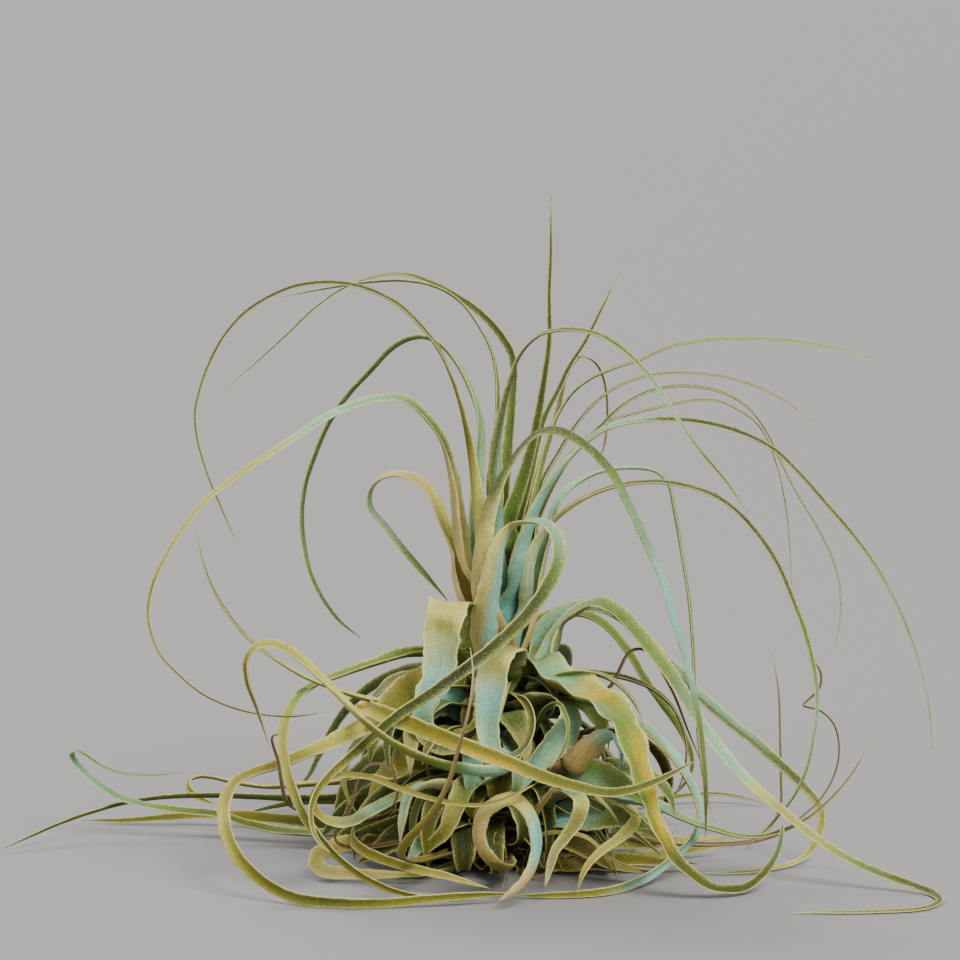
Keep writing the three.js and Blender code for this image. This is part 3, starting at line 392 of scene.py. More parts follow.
@dataclass
class LeafLines:
    """The lines that a leaf's surface is carried along: its edges, its middle and its facing direction.

    The channel is how far the middle sinks below the parabola's own line, as a share of the width.
    """

    left: Array
    middle: Array
    right: Array
    face: Array
    channel: Array
    distance: Array

    @classmethod
    def of(cls, node: bpy.types.Object, stem: StemProfile) -> "LeafLines":
        """Reads the lines from a packed leaf's section rings and joins them to a sheath round the stem.

        A leaf's channel flattens where it bends, the more the wider it is over the bend's radius.

        Args:
            node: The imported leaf.
            stem: The stem that it grows from.

        Returns:
            The lines, from the foot of the sheath to the tip.
        """
        welded = WeldedNode(node)
        rings, tip = welded.rings()
        section = welded.corners[np.array(rings)]
        sides = section.shape[1]
        ribbed = sides == RIBBED_SECTION
        upper, under = section[:, : sides // 2], section[:, sides // 2 :][:, ::-1]
        lines = (upper + under) / 2
        middle = lines[:, 1] if ribbed else lines.mean(1)
        face = unit((upper - under).mean(1))
        from_root = distance_along(middle)
        flare = 1 + FLARE * np.exp(-from_root / FLARE_LENGTH)[:, None]
        centre = (lines[:, 0] + lines[:, -1]) / 2
        left = centre + (lines[:, 0] - centre) * flare
        right = centre + (lines[:, -1] - centre) * flare
        width = np.linalg.norm(right - left, axis=1)
        tangent = unit(np.gradient(middle, axis=0))
        turn = np.linalg.norm(np.gradient(tangent, axis=0), axis=1) / np.gradient(from_root)
        bend = FLATTENING * (turn * width) ** 2
        flat = 1 / (1 + bend + bend**2)
        middle = centre + (middle - centre) * flat[:, None]
        deepening = BASE_CHANNEL * from_root / DEEPEST_AT * np.exp(1 - from_root / DEEPEST_AT)
        channel = ((RIBBED_CHANNEL if ribbed else FLAT_CHANNEL) + deepening) * flat
        clasp = stem.sheath(middle[0], float(width[0]) / (1 + FLARE))
        kept = from_root >= FREE_FROM
        end = welded.corners[tip][None]
        ends = (end, end, end, face[-1:])
        joined = [
            np.vstack([low, line[kept], last])
            for low, line, last in zip(clasp, (left, middle, right, face), ends)
        ]
        channels = np.concatenate([np.zeros(stem.rows), channel[kept], channel[-1:]])
        return cls(*joined, channels[:, None], distance_along(joined[1]))

    @classmethod
    def along(
        cls, stem: StemProfile, path: Array, side: Array, across: Array, channel: float
    ) -> "LeafLines":
        """Makes the lines of a leaf from its path, and joins them to a sheath round the stem.

        Args:
            stem: The stem that it grows from.
            path: Its middle line, from the stem to its tip.
            side: The direction of its width at each point.
            across: Its width at each point.
            channel: The depth of its channel, as a share of its width.

        Returns:
            The lines, from the foot of the sheath to the tip.
        """
        kept = distance_along(path) >= FREE_FROM
        face = np.cross(unit(np.gradient(path, axis=0)), side)
        half = side * across[:, None] / 2
        clasp = stem.sheath(path[0], across[0])
        lines = (path - half, path, path + half, face)
        joined = [np.vstack([low, line[kept]]) for low, line in zip(clasp, lines)]
        channels = np.concatenate([np.zeros(stem.rows), np.full(kept.sum(), channel)])
        return cls(*joined, channels[:, None], distance_along(joined[1]))

    def at(self, distance: Array) -> list[Array]:
        """Works the five lines out at any distances from the start, by the cubic curve through them."""
        lines = (self.left, self.middle, self.right, self.face, self.channel)
        return [eased(self.distance, line, distance) for line in lines]


@dataclass
class Blade:
    """A fine channelled leaf surface.

    A row is a parabola from the left edge through the middle to the right edge, raised at its edges
    by a ripple, and the blade is that row thickened both ways along the surface's normals.
    """

    lines: LeafLines
    seed: int
    row_step: float = 1.1 * MM
    least_rows: int = 12
    columns: int = 9
    few_columns: int = 7
    narrow: float = 4.2 * MM
    rib_thickness: float = 0.75 * MM
    thinnest_rib: float = 0.3 * MM
    rib_share: float = 0.12
    edge_thickness: float = 0.28 * MM
    edge_power: float = 2.5
    crinkle: float = 0.05
    crinkle_length: float = 7 * MM
    crinkle_seed: int = 10
    nibble: float = 0.04
    nibble_length: float = 2.4 * MM
    nibble_seed: int = 20
    ripple_power: int = 3
    tip_width: float = 0.25 * MM
    table_gap: float = 0.4 * MM

    def __post_init__(self) -> None:
        """Works out the rows, the surface and its normals."""
        length = self.lines.distance[-1]
        self.rows = max(self.least_rows, int(length / self.row_step))
        self.distance = np.linspace(0, length - self.tip_width, self.rows)
        self.left, self.middle, self.right, face, self.channel = self.lines.at(self.distance)
        self.face = unit(face)
        self.width = np.linalg.norm(self.right - self.left, axis=1)
        free_width = self.width[self.rows // 4 :]
        if free_width.max() < self.narrow:
            self.columns = self.few_columns
        self.across = np.linspace(-1, 1, self.columns)
        self.points = self.sheet()
        along = np.gradient(self.points, axis=0)
        sideways = np.gradient(self.points, axis=1)
        self.normals = unit(np.cross(along, sideways))

    def sheet(self) -> Array:
        """Middle surface of the blade, as points by row and column."""
        v = self.across[None, :, None]
        sag = self.face * self.channel * self.width[:, None]
        middle = (self.middle - sag)[:, None]
        left, right = self.left[:, None], self.right[:, None]
        points = middle * (1 - v**2) + left * v * (v - 1) / 2 + right * v * (v + 1) / 2
        side = unit(self.right - self.left)[:, None]
        for sign, place in ((-1, 0), (1, 1)):
            lift = wander(self.seed + self.crinkle_seed + place, self.distance, self.crinkle_length)
            reach = wander(self.seed + self.nibble_seed + place, self.distance, self.nibble_length)
            lift, reach = lift * self.crinkle * self.width, reach * self.nibble * self.width
            near = np.maximum(sign * v, 0) ** self.ripple_power
            points = points + near * lift[:, None, None] * self.face[:, None]
            points = points + sign * near * reach[:, None, None] * side
        points[..., 2] = np.maximum(points[..., 2], self.table_gap)
        return points

    def thickness(self) -> Array:
        """Thickness by row and column: thick along the rib, thin at the edges and near the tip."""
        rib = self.width * self.rib_share + self.thinnest_rib
        rib = np.clip(rib, self.thinnest_rib, self.rib_thickness)[:, None]
        edge = np.minimum(self.edge_thickness, rib)
        return edge + (rib - edge) * (1 - np.abs(self.across)[None] ** self.edge_power)

    def ring_points(self) -> tuple[Array, Array]:
        """Points round each row's section, over the upper face and back under it.

        Returns:
            Points by row and place in the ring, and the share across of each place from 0 to 1.
        """
        lift = self.thickness()[..., None] / 2 * self.normals
        ring = np.concatenate([self.points + lift, (self.points - lift)[:, ::-1]], axis=1)
        share = (np.concatenate([self.across, self.across[::-1]]) + 1) / 2
        return ring, share


def ring_faces(rows: int, ring: int) -> list[Array]:
    """Quads between neighbouring rings, and quads that close both ends between the two faces.

    Args:
        rows: Number of rings.
        ring: Points in a ring, half of them on each face.

    Returns:
        Arrays of four corners a face.
    """
    side = tube_quads(rows, ring)[:, [0, 3, 2, 1]]
    k = np.arange(ring // 2 - 1)
    cap = np.stack([k, k + 1, ring - 2 - k, ring - 1 - k], axis=-1)
    end = cap[:, ::-1] + (rows - 1) * ring
    return [side, cap, end]


def make_mesh(
    name: str, points: Array, faces: Sequence[Array], uv: Array, tone: Array
) -> bpy.types.Object:
    """Makes a smooth mesh object with a UV map and a tone attribute, both given at its points.

    Args:
        name: The object's name.
        points: Its points.
        faces: Arrays of faces, each with its own number of corners.
        uv: Share across and distance along, one row for each point.
        tone: Linear red, green and blue, one row for each point.

    Returns:
        The object, linked to the scene.
    """
    mesh = bpy.data.meshes.new(name)
    mesh.from_pydata(points.reshape(-1, 3), [], [face for group in faces for face in group.tolist()])
    corner = np.empty(len(mesh.loops), np.int32)
    mesh.loops.foreach_get("vertex_index", corner)
    layer = mesh.uv_layers.new(name="leaf")
    layer.data.foreach_set("uv", uv[corner].astype(np.float32).ravel())
    colour = np.concatenate([tone, np.ones((len(tone), 1))], axis=1)
    attribute = mesh.attributes.new("tone", "FLOAT_COLOR", "POINT")
    attribute.data.foreach_set("color", colour.astype(np.float32).ravel())
    mesh.polygons.foreach_set("use_smooth", np.ones(len(mesh.polygons), bool))
    mesh.update()
    thing = bpy.data.objects.new(name, mesh)
    bpy.context.scene.collection.objects.link(thing)
    return thing


def plain_mesh(name: str, points: Array, faces: Sequence[Array], tone: Tone) -> bpy.types.Object:
    """Makes a mesh object in one tone, for a skin that follows no UV map."""
    colour = np.tile(tone.linear(), (len(points), 1))
    return make_mesh(name, points, faces, np.zeros((len(points), 2)), colour)


def dress(
    piece: bpy.types.Object, material: bpy.types.Material, node: str | None = None
) -> bpy.types.Object:
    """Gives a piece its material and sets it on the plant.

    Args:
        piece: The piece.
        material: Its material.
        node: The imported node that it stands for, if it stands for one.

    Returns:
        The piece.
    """
    piece.data.materials.append(material)
    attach(piece, "root")
    if node:
        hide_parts(node)
    return piece


@dataclass
class EdgeScales:
    """The pale scales that stand out from a leaf's edges: small flat three-sided pyramids.

    A little over one row stays free of them at the tip, so that each stands between two rows.
    """

    spacing: float = 0.5 * MM
    shortest: float = 0.2 * MM
    longest: float = 0.7 * MM
    base: float = 0.4 * MM
    thickness: float = 0.14 * MM
    sunk: float = 0.22 * MM
    lean: float = 0.9
    lift_share: float = 0.6
    full_size_width: float = 7 * MM
    least_size: float = 0.35
    tip_rows: float = 1.001
    seed: int = 30
    sides: tuple[tuple[int, int, int], ...] = ((0, 2, 1), (0, 1, 3), (1, 2, 3), (2, 0, 3))

    def build(self, blade: Blade) -> tuple[Array, Array, Array]:
        """Places scales along both edges, each with a random place, length and lean.

        Args:
            blade: The leaf that they grow on.

        Returns:
            Points, triangles, and the share across and distance along of each point.
        """
        points, triangles, places = [], [], []
        for sign, column in ((-1, 0), (1, blade.columns - 1)):
            draw = np.random.default_rng(blade.seed + self.seed + column)
            count = int(blade.distance[-1] / self.spacing)
            row = np.sort(draw.uniform(0, blade.rows - self.tip_rows, count))
            before = row.astype(int)
            share = (row - before)[:, None]
            near, far = blade.points[before, column], blade.points[before + 1, column]
            edge = near * (1 - share) + far * share
            along = unit(far - near)
            face = blade.normals[before, column]
            out = -sign * np.cross(face, along)
            small = np.clip(blade.width[before] / self.full_size_width, self.least_size, 1)[:, None]
            length = draw.uniform(self.shortest, self.longest, (count, 1)) * small
            lean = draw.uniform(-self.lean, self.lean, (count, 2))
            way = unit(out + along * lean[:, :1] + face * lean[:, 1:] * self.lift_share)
            root = edge - out * self.sunk * small
            wide = along * self.base * small / 2
            thick = face * self.thickness / 2
            tip = edge + way * length
            corners = np.stack([root - wide - thick, root + wide - thick, root + thick, tip], axis=1)
            first = np.arange(count)[:, None] * 4 + sum(len(group) for group in points)
            for side in self.sides:
                triangles.append(first + np.array(side if sign > 0 else side[::-1]))
            points.append(corners.reshape(-1, 3))
            place = np.stack([np.full(count, (sign + 1) / 2), blade.distance[before]], axis=1)
            places.append(np.repeat(place, 4, axis=0))
        return np.vstack(points), np.vstack(triangles), np.vstack(places)


def leaf_surface(blade: Blade, upper: Array, under: Array) -> tuple[Array, list[Array], Array, Array]:
    """A leaf's surface with the scales at its edges.

    Args:
        blade: The leaf.
        upper: Its upper face's colours at each row, left and right.
        under: Its under face's colours at each row, left and right.

    Returns:
        Points, groups of faces, UV by point and colour by point, as make_mesh takes them.
    """
    ring, share = blade.ring_points()
    rows, places = ring.shape[:2]
    half = places // 2
    # The two halves' tones carry painted light: each half is coloured for how it is lit, blended across
    # the middle
    right = smooth(np.clip((share - CHANGE_FROM) / (1 - 2 * CHANGE_FROM), 0, 1))[None, :, None]
    left_lit_tone = np.concatenate([np.repeat(face[:, :1], half, 1) for face in (upper, under)], axis=1)
    right_lit_tone = np.concatenate([np.repeat(face[:, 1:], half, 1) for face in (upper, under)], axis=1)
    tone = left_lit_tone * (1 - right) + right_lit_tone * right
    uv = np.empty((rows, places, 2))
    uv[..., 0] = share[None]
    uv[..., 1] = blade.distance[:, None]
    scale_points, scale_faces, scale_places = EdgeScales().build(blade)
    row = np.searchsorted(blade.distance, scale_places[:, 1])
    scale_tone = upper[row, scale_places[:, 0].astype(int)]
    return (
        np.vstack([ring.reshape(-1, 3), scale_points]),
        ring_faces(rows, places) + [scale_faces + rows * places],
        np.vstack([uv.reshape(-1, 2), scale_places]),
        np.vstack([tone.reshape(-1, 3), scale_tone]),
    )


class Value:
    """A socket in a material, with Python's operators adding Math nodes."""

    def __init__(self, nodes: "Nodes", socket: Any) -> None:
        """Keeps the socket or number and the material that it is in."""
        self.nodes = nodes
        self.socket = socket

    def _math(self, operation: str, *others: Any) -> "Value":
        """Adds a Math node on this value and others."""
        return self.nodes.add("ShaderNodeMath", {"operation": operation}, [self, *others])

    def __add__(self, other: Any) -> "Value":
        """Sum."""
        return self._math("ADD", other)

    def __sub__(self, other: Any) -> "Value":
        """Difference."""
        return self._math("SUBTRACT", other)

    def __mul__(self, other: Any) -> "Value":
        """Product."""
        return self._math("MULTIPLY", other)

    def __abs__(self) -> "Value":
        """Distance from 0."""
        return self._math("ABSOLUTE")

    def __rsub__(self, other: Any) -> "Value":
        """A number less this value."""
        return (self * -1) + other

    __radd__ = __add__
    __rmul__ = __mul__

    def ramp(self, low: float, high: float) -> "Value":
        """0 below low, 1 above high, and smooth between them."""
        settings = {"interpolation_type": "SMOOTHSTEP"}
        values = {"Value": self, "From Min": low, "From Max": high}
        return self.nodes.add("ShaderNodeMapRange", settings, values, "Result")


class Nodes:
    """Adds nodes to one material."""

    def __init__(self, name: str) -> None:
        """Makes the material with a shader and an output."""
        self.material = bpy.data.materials.new(name)
        self.material.use_nodes = True
        self.tree = self.material.node_tree
        self.tree.nodes.clear()
        self.shader = self.tree.nodes.new("ShaderNodeBsdfPrincipled")
        output = self.tree.nodes.new("ShaderNodeOutputMaterial")
        self.tree.links.new(self.shader.outputs[0], output.inputs[0])

    def _set(self, socket: Any, value: Any) -> None:
        """Links a value to a socket, or sets a number or colour on it."""
        if isinstance(value, Value):
            self.tree.links.new(value.socket, socket)
        elif hasattr(socket, "default_value"):
            places = len(socket.default_value) if hasattr(socket.default_value, "__len__") else 1
            socket.default_value = (*value, 1) if places == 4 and len(value) == 3 else value

    def add(self, kind: str, settings: dict[str, Any], values: Any, output: Any = 0) -> Value:
        """Adds any node.

        Args:
            kind: The node's type.
            settings: Its properties, set before its sockets.
            values: A list by socket order, or a dictionary by socket name or number.
            output: The name or number of the output that is returned.

        Returns:
            That output.
        """
        node = self.tree.nodes.new(kind)
        for key, setting in settings.items():
            setattr(node, key, setting)
        pairs = values.items() if isinstance(values, dict) else enumerate(values)
        for key, value in pairs:
            self._set(node.inputs[key], value)
        return Value(self, node.outputs[output])

    def place(self) -> Value:
        """Object coordinates, in metres."""
        return self.add("ShaderNodeTexCoord", {}, [], "Object")

    def noise(self, size: float, detail: float = 2) -> Value:
        """Noise whose features are about size metres across, from 0 to 1."""
        values = {"Vector": self.place(), "Scale": 1 / size, "Detail": detail}
        return self.add("ShaderNodeTexNoise", {}, values, "Fac")

    def mix(self, share: Any, first: Any, second: Any) -> Value:
        """Mixes two colours."""
        return self.add("ShaderNodeMix", {"data_type": "RGBA"}, {0: share, 6: first, 7: second}, 2)

    def streaks(self, where: Value, scale: tuple[float, float, float]) -> Value:
        """Noise stretched along an axis, from 0 to 1, with scale features a unit along each."""
        stretched = self.add("ShaderNodeMapping", {}, {"Vector": where, "Scale": scale})
        return self.add("ShaderNodeTexNoise", {}, {"Vector": stretched, "Scale": 1, "Detail": 3}, "Fac")

    def bump(self, height: Value, distance: float, strength: float = 1) -> Value:
        """Normal of a surface raised by height times distance."""
        values = {"Height": height, "Distance": distance, "Strength": strength}
        return self.add("ShaderNodeBump", {}, values, "Normal")

    def finish(self, **values: Any) -> bpy.types.Material:
        """Sets the shader's sockets, named with underscores for spaces, and returns the material."""
        for key, value in values.items():
            self._set(self.shader.inputs[key.replace("_", " ")], value)
        return self.material


PALE_EDGE = display_colour(232, 222, 150)
YELLOW_SIDE = display_colour(186, 190, 88)
# The pit colours give a leaf's real dark pits and grain, and also the painted shade in its channel
DARK_PIT_AND_SHADE = display_colour(50, 58, 10)
BROWN_PIT_AND_SHADE = display_colour(48, 34, 18)
DRY_EDGE = display_colour(176, 146, 98)
MINT_SCALE = display_colour(224, 236, 208)
SAGE_SCALE = display_colour(206, 214, 150)
OLIVE_SCALE = display_colour(178, 180, 92)
OCHRE_SCALE = display_colour(222, 206, 120)
DRY_SCALE = display_colour(180, 160, 130)


@dataclass(frozen=True)
class Layer:
    """How a pattern shows: the value where it starts, where it is full, and how much it covers there."""

    start: float
    full: float
    cover: float

    def of(self, pattern: Value) -> Value:
        """The layer's cover over the pattern."""
        return pattern.ramp(self.start, self.full) * self.cover


@dataclass(frozen=True)
class LeafSkin:
    """A leaf's finish: its tone with painted shade down its channel, ribs along it, grey scales all over
    and paler ones at its edges.
    """

    name: str
    scale: Colour
    side_cover: float
    scale_cover: float
    roughness: float
    edge: Colour = PALE_EDGE
    pit_and_shade: Colour = DARK_PIT_AND_SHADE
    side: Colour = YELLOW_SIDE
    scale_size: float = 0.4 * MM
    pit_size: float = 1.1 * MM
    cloud_size: float = 16 * MM
    ragged_size: float = 0.9 * MM
    ragged: float = 0.35
    rib_scale: tuple[float, float, float] = (14, 90, 1)
    free_between: tuple[float, float] = (12 * MM, 40 * MM)
    side_between: tuple[float, float] = (0.45, 0.95)
    scale_between: tuple[float, float] = (0.54, 0.7)
    # Painted shade: the middle of a leaf, away from its root, is darkened where the channel's shade falls
    middle: Layer = Layer(0.75, 0.05, 0.3)
    clouds: Layer = Layer(0.35, 0.68, 0.5)
    dark_ribs: Layer = Layer(0.5, 0.72, 0.5)
    pale_ribs: Layer = Layer(0.48, 0.28, 0.2)
    pits: Layer = Layer(0.54, 0.68, 0.55)
    dark_grain: Layer = Layer(0.48, 0.36, 0.5)
    outer_scales: Layer = Layer(0.3, 1, 0.4)
    rim: Layer = Layer(0.84, 1.02, 0.85)
    darkening: float = 0.55
    # How far the painted channel shade goes towards the pit colour
    deepening: float = 0.6
    paling: float = 0.4
    scale_share: float = 0.6
    edge_share: float = 0.72
    scale_roughness: float = 0.2
    relief_shares: tuple[float, float, float] = (0.8, 0.7, 0.3)
    relief_height: float = 0.25 * MM
    relief_strength: float = 0.8

    def material(self) -> bpy.types.Material:
        """Builds the material.

        Returns:
            The material, which reads the leaf's UV map and tone attribute.
        """
        nodes = Nodes(self.name)
        tone = nodes.add("ShaderNodeAttribute", {"attribute_name": "tone"}, [], "Color")
        uv = nodes.add("ShaderNodeUVMap", {"uv_map": "leaf"}, [], "UV")
        across = nodes.add("ShaderNodeSeparateXYZ", {}, [uv], "X")
        free = nodes.add("ShaderNodeSeparateXYZ", {}, [uv], "Y").ramp(*self.free_between)
        from_middle = abs(across * 2 - 1)
        ribs = nodes.streaks(uv, self.rib_scale)
        grain = nodes.noise(self.scale_size)
        pits = nodes.noise(self.pit_size)
        tone = nodes.mix(from_middle.ramp(*self.side_between) * self.side_cover, tone, self.side)
        # Painted shade down the channel: the middle of the leaf is darkened towards the pit colour
        channel_shade = nodes.mix(self.deepening, tone, self.pit_and_shade)
        tone = nodes.mix(self.middle.of(from_middle) * free, tone, channel_shade)
        dark = nodes.mix(self.darkening, tone, self.pit_and_shade)
        pale = nodes.mix(self.paling, tone, self.scale)
        colour = nodes.mix(self.clouds.of(nodes.noise(self.cloud_size, 3)), tone, dark)
        colour = nodes.mix(self.dark_ribs.of(ribs), colour, dark)
        colour = nodes.mix(self.pale_ribs.of(ribs), colour, pale)
        colour = nodes.mix(self.pits.of(pits), colour, dark)
        colour = nodes.mix(self.dark_grain.of(grain), colour, dark)
        scales = grain.ramp(*self.scale_between) * (self.outer_scales.of(from_middle) + self.scale_cover)
        colour = nodes.mix(scales, colour, nodes.mix(self.scale_share, tone, self.scale))
        rim = from_middle + (nodes.noise(self.ragged_size) - 0.5) * self.ragged
        edge = nodes.mix(self.edge_share, tone, self.edge)
        colour = nodes.mix(self.rim.of(rim) * free, colour, edge)
        grain_share, rib_share, pit_share = self.relief_shares
        relief = grain * grain_share + ribs * rib_share + pits * pit_share
        return nodes.finish(
            Base_Color=colour,
            Roughness=scales * self.scale_roughness + self.roughness,
            Normal=nodes.bump(relief, self.relief_height, self.relief_strength),
            Specular_IOR_Level=0.3,
            Sheen_Weight=0.05,
            Sheen_Roughness=0.5,
        )


SKINS = {
    "leaf_mint": LeafSkin(
        "mint leaf skin", MINT_SCALE, side_cover=0.34, scale_cover=0.42, roughness=0.62),
    "leaf_sage": LeafSkin(
        "sage leaf skin", SAGE_SCALE, side_cover=0.22, scale_cover=0.34, roughness=0.62),
    "leaf_olive": LeafSkin(
        "olive leaf skin", OLIVE_SCALE, side_cover=0.12, scale_cover=0.26, roughness=0.66),
    "leaf_ochre": LeafSkin(
        "yellowing leaf skin", OCHRE_SCALE, side_cover=0.2, scale_cover=0.26, roughness=0.68),
    "leaf_dry": LeafSkin(
        "dry leaf skin", DRY_SCALE, side_cover=0.2, scale_cover=0.15, roughness=0.8,
        edge=DRY_EDGE, pit_and_shade=BROWN_PIT_AND_SHADE, side=DRY_EDGE),
}

# Besides each leaf's own colours, these tones paint light and shade: many dark moss stretches paint the
# shade where a leaf passes behind others, and a slash splits a face into halves toned for how each is lit
LOOKS = {
    "base_right_tongue": Look("olive ochre straw straw ochre", "olive ochre"),
    "left_back_strap": Look("ochre olive ochre olive", "olive"),
    "table_blade_left": Look("sage straw dry straw mint", "sage"),
    "back_floor_right": Look("olive sage olive", "olive"),
    "dry_left_curl": Look("rust dry dry bark", "dry"),
    "base_front_ring": Look(
        "dry ochre straw",
        "dry tan ochre ochre ochre tan tan straw aqua aqua tan pale"),
    "back_floor_left": Look("olive sage olive", "olive"),
    "dry_upright": Look("olive ochre ochre ochre dry pale"),
    "right_table_curl": Look("dry rust dry olive olive", "dry"),
    "left_hook": Look("olive olive sage olive sage mint sage olive", "olive olive sage"),
    "base_front_tongue": Look("sage mint mint straw ochre pale", "olive"),
    "right_pale_upright": Look("dry dry straw pale pale", "dry straw pale"),
    "low_left_strap": Look("olive ochre ochre straw", "olive"),
    "right_dark_strap": Look("olive moss olive sage", "moss"),
    "left_far_sweep": Look("olive olive ochre olive olive", "moss olive"),
    "pale_finger": Look("sage pale pale mint pale", "sage pale"),
    "right_thin_rise": Look("aqua aqua mint sage olive dry dry", "mint aqua sage olive dry"),
    "dry_left_thread": Look("olive dry bark bark dry", "olive dry bark"),
    "front_low_fold": Look("mint mint sage straw ochre olive", "sage mint straw ochre"),
    "back_middle_hoop": Look("olive sage ochre olive", "olive"),
    "front_low_ribbon": Look(
        "olive ochre straw mint straw ochre ochre ochre olive olive ochre",
        "olive ochre"),
    "right_dry_hook": Look("olive moss olive rust dry"),
    "left_yellow_fold": Look("olive olive ochre gold gold gold ochre", "olive ochre"),
    "mid_left_ribbon": Look(
        "sage sage olive ochre ochre straw straw straw ochre dry dry",
        "sage mint mint sage ochre straw straw ochre dry"),
    "right_back_strap": Look("olive moss olive", "moss olive"),
    "front_ochre_fold": Look("olive sage straw ochre straw straw", "olive ochre"),
    "right_brown_curl": Look("rust rust dry dry aqua aqua", "bark rust tan dry tan tan mint aqua mint"),
    "back_right_arch": Look("olive sage olive", "olive"),
    "front_right_fold": Look(
        "sage straw straw straw straw straw aqua mint olive ochre ochre",
        "olive sage olive olive ochre ochre"),
    "right_long_sweep": Look(
        "aqua mint mint sage sage mint mint straw sage olive olive ochre sage mint",
        "olive sage"),
    "front_yellow_ribbon": Look(
        "olive ochre gold gold ochre ochre gold ochre olive ochre dry/"
        "olive olive ochre ochre olive olive",
        "olive ochre"),
    "inner_right_strap": Look("moss olive sage mint mint aqua sage", "moss olive"),
    "right_low_arch": Look(
        "mint sage olive olive olive olive olive olive straw sage mint/"
        "mint mint mint sage mint mint sage olive straw sage mint",
        "mint sage olive sage"),
    "left_broad_hoop": Look("olive olive straw ochre straw ochre olive ochre olive", "olive ochre"),
    "front_right_hoop": Look(
        "olive olive ochre gold gold mint ochre olive/olive olive mint aqua aqua aqua ochre olive",
        "olive straw"),
    "back_left_arch": Look("olive sage olive", "olive"),
    "crown_front_loop": Look(
        "aqua aqua aqua mint sage olive moss olive olive ochre ochre",
        "tan straw ochre straw straw/aqua aqua mint straw"),
    "crown_right_far_drop": Look("mint olive moss olive dry", "mint olive moss"),
    "left_riser": Look("straw straw straw sage olive sage", "ochre sage"),
    "front_cascade": Look(
        "sage mint straw mint sage sage sage ochre olive olive moss olive mint/"
        "sage mint straw gold sage gold gold gold olive olive moss olive mint",
        "olive ochre"),
    "crown_right_far_inner": Look("mint olive moss olive dry", "mint olive moss"),
    "front_left_fold": Look(
        "tan sage straw straw straw aqua mint olive olive ochre",
        "sage straw straw sage ochre"),
    "crown_right_back_drop": Look("pale mint aqua sage olive sage olive", "tan mint sage olive"),
    "left_olive_hoop": Look("olive sage sage sage straw olive ochre ochre olive", "olive"),
    "crown_front_arch": Look(
        "aqua aqua sage sage",
        "tan tan straw olive olive olive sage mint aqua mint sage olive olive"),
    "crown_back_right_curl": Look("sage dry dry"),
    "crown_left_hoop": Look(
        "tan tan straw straw tan straw sage olive sage olive",
        "tan tan straw tan mint sage olive"),
    "crown_right_bow": Look(
        "aqua mint moss olive moss olive sage mint sage olive",
        "mint tan olive moss olive/aqua aqua mint olive olive"),
    "crown_back_left_mid": Look("sage olive sage"),
    "crown_left_tall": Look(
        "aqua mint sage olive moss olive sage sage",
        "tan straw ochre olive moss olive moss olive sage"),
    "crown_right_bow_back": Look("mint olive moss olive dry", "mint olive moss"),
    "crown_back_left_drop": Look("mint sage olive", "tan mint sage olive olive sage olive"),
    "crown_right_long": Look(
        "aqua aqua mint olive moss olive olive sage aqua sage",
        "aqua mint olive moss olive"),
    "crown_back_right_tall": Look("sage olive moss olive", "olive moss olive"),
    "crown_left_arch": Look(
        "tan tan olive sage mint mint straw straw ochre straw olive olive olive",
        "tan tan olive mint mint mint straw ochre olive olive"),
    "crown_right_straight": Look("sage olive olive sage sage", "straw sage olive sage sage"),
    "crown_back_left_low": Look("sage olive sage"),
    "crown_right_arch": Look(
        "aqua aqua sage moss olive sage mint olive sage",
        "straw olive olive moss olive olive sage/aqua mint olive olive olive olive sage"),
    "crown_spike": Look(
        "sage sage olive olive olive",
        "straw sage olive olive olive/aqua aqua olive olive"),
}


@dataclass
class Leaves:
    """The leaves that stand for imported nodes, numbered round the stem in the order of LOOKS."""

    profile: StemProfile
    base_length: float = 15 * MM
    fade_length: float = 21 * MM
    crown_from: int = 24
    low_base: Tone = Tone.BARK
    shift: float = 0.05
    shift_length: float = 20 * MM
    seed_step: int = 100

    def face_tones(self, words: str, distance: Array, number: int) -> Array:
        """Tones along one face, with the old colour of a low leaf's base fading in near the stem.

        Args:
            words: The face's tones.
            distance: Places along the leaf, in metres from its start.
            number: The leaf's place on the stem, from the foot up.

        Returns:
            Linear colours by place, for the left half and the right half.
        """
        shift = wander(SEED + number, distance, self.shift_length) * self.shift
        free = np.clip((distance - self.base_length) / (distance.max() - self.base_length) + shift, 0, 1)
        tone = Look.along(words, free)
        if number >= self.crown_from:
            return tone
        weight = np.exp(-((distance / self.fade_length) ** 2))[:, None, None]
        return tone * (1 - weight) + self.low_base.linear() * weight

    def build(self, name: str, slot: str, number: int, material: bpy.types.Material) -> bpy.types.Object:
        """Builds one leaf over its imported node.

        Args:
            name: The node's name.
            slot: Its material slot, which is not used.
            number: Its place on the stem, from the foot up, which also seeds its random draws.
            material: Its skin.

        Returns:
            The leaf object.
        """
        lines = LeafLines.of(frame["nodes"][name], self.profile)
        blade = Blade(lines, SEED + self.seed_step * number)
        look = LOOKS[name]
        upper = self.face_tones(look.upper, blade.distance, number)
        under = self.face_tones(look.under or look.upper, blade.distance, number)
        leaf = make_mesh(f"leaf_{name}", *leaf_surface(blade, upper, under))
        return dress(leaf, material, name)

    def build_all(self) -> int:
        """Builds every leaf and returns the number of faces."""
        skins = {slot: skin.material() for slot, skin in SKINS.items()}
        parts = [part for part in frame["record"]["subparts"] if part["node"] in LOOKS]
        numbers = {name: number for number, name in enumerate(LOOKS)}
        faces = 0
        for part in parts:
            slot = part["material_slot"]
            leaf = self.build(part["node"], slot, numbers[part["node"]], skins[slot])
            faces += len(leaf.data.polygons)
            LOG.info("%s: %d faces", leaf.name, len(leaf.data.polygons))
        return faces


@dataclass(frozen=True)
class InnerLeaf:
    """A leaf seen between the long ones: its tones from root to tip, width, facing, and way in mm."""

    tones: str
    width: float
    facing: Place
    way: tuple[Place, ...]
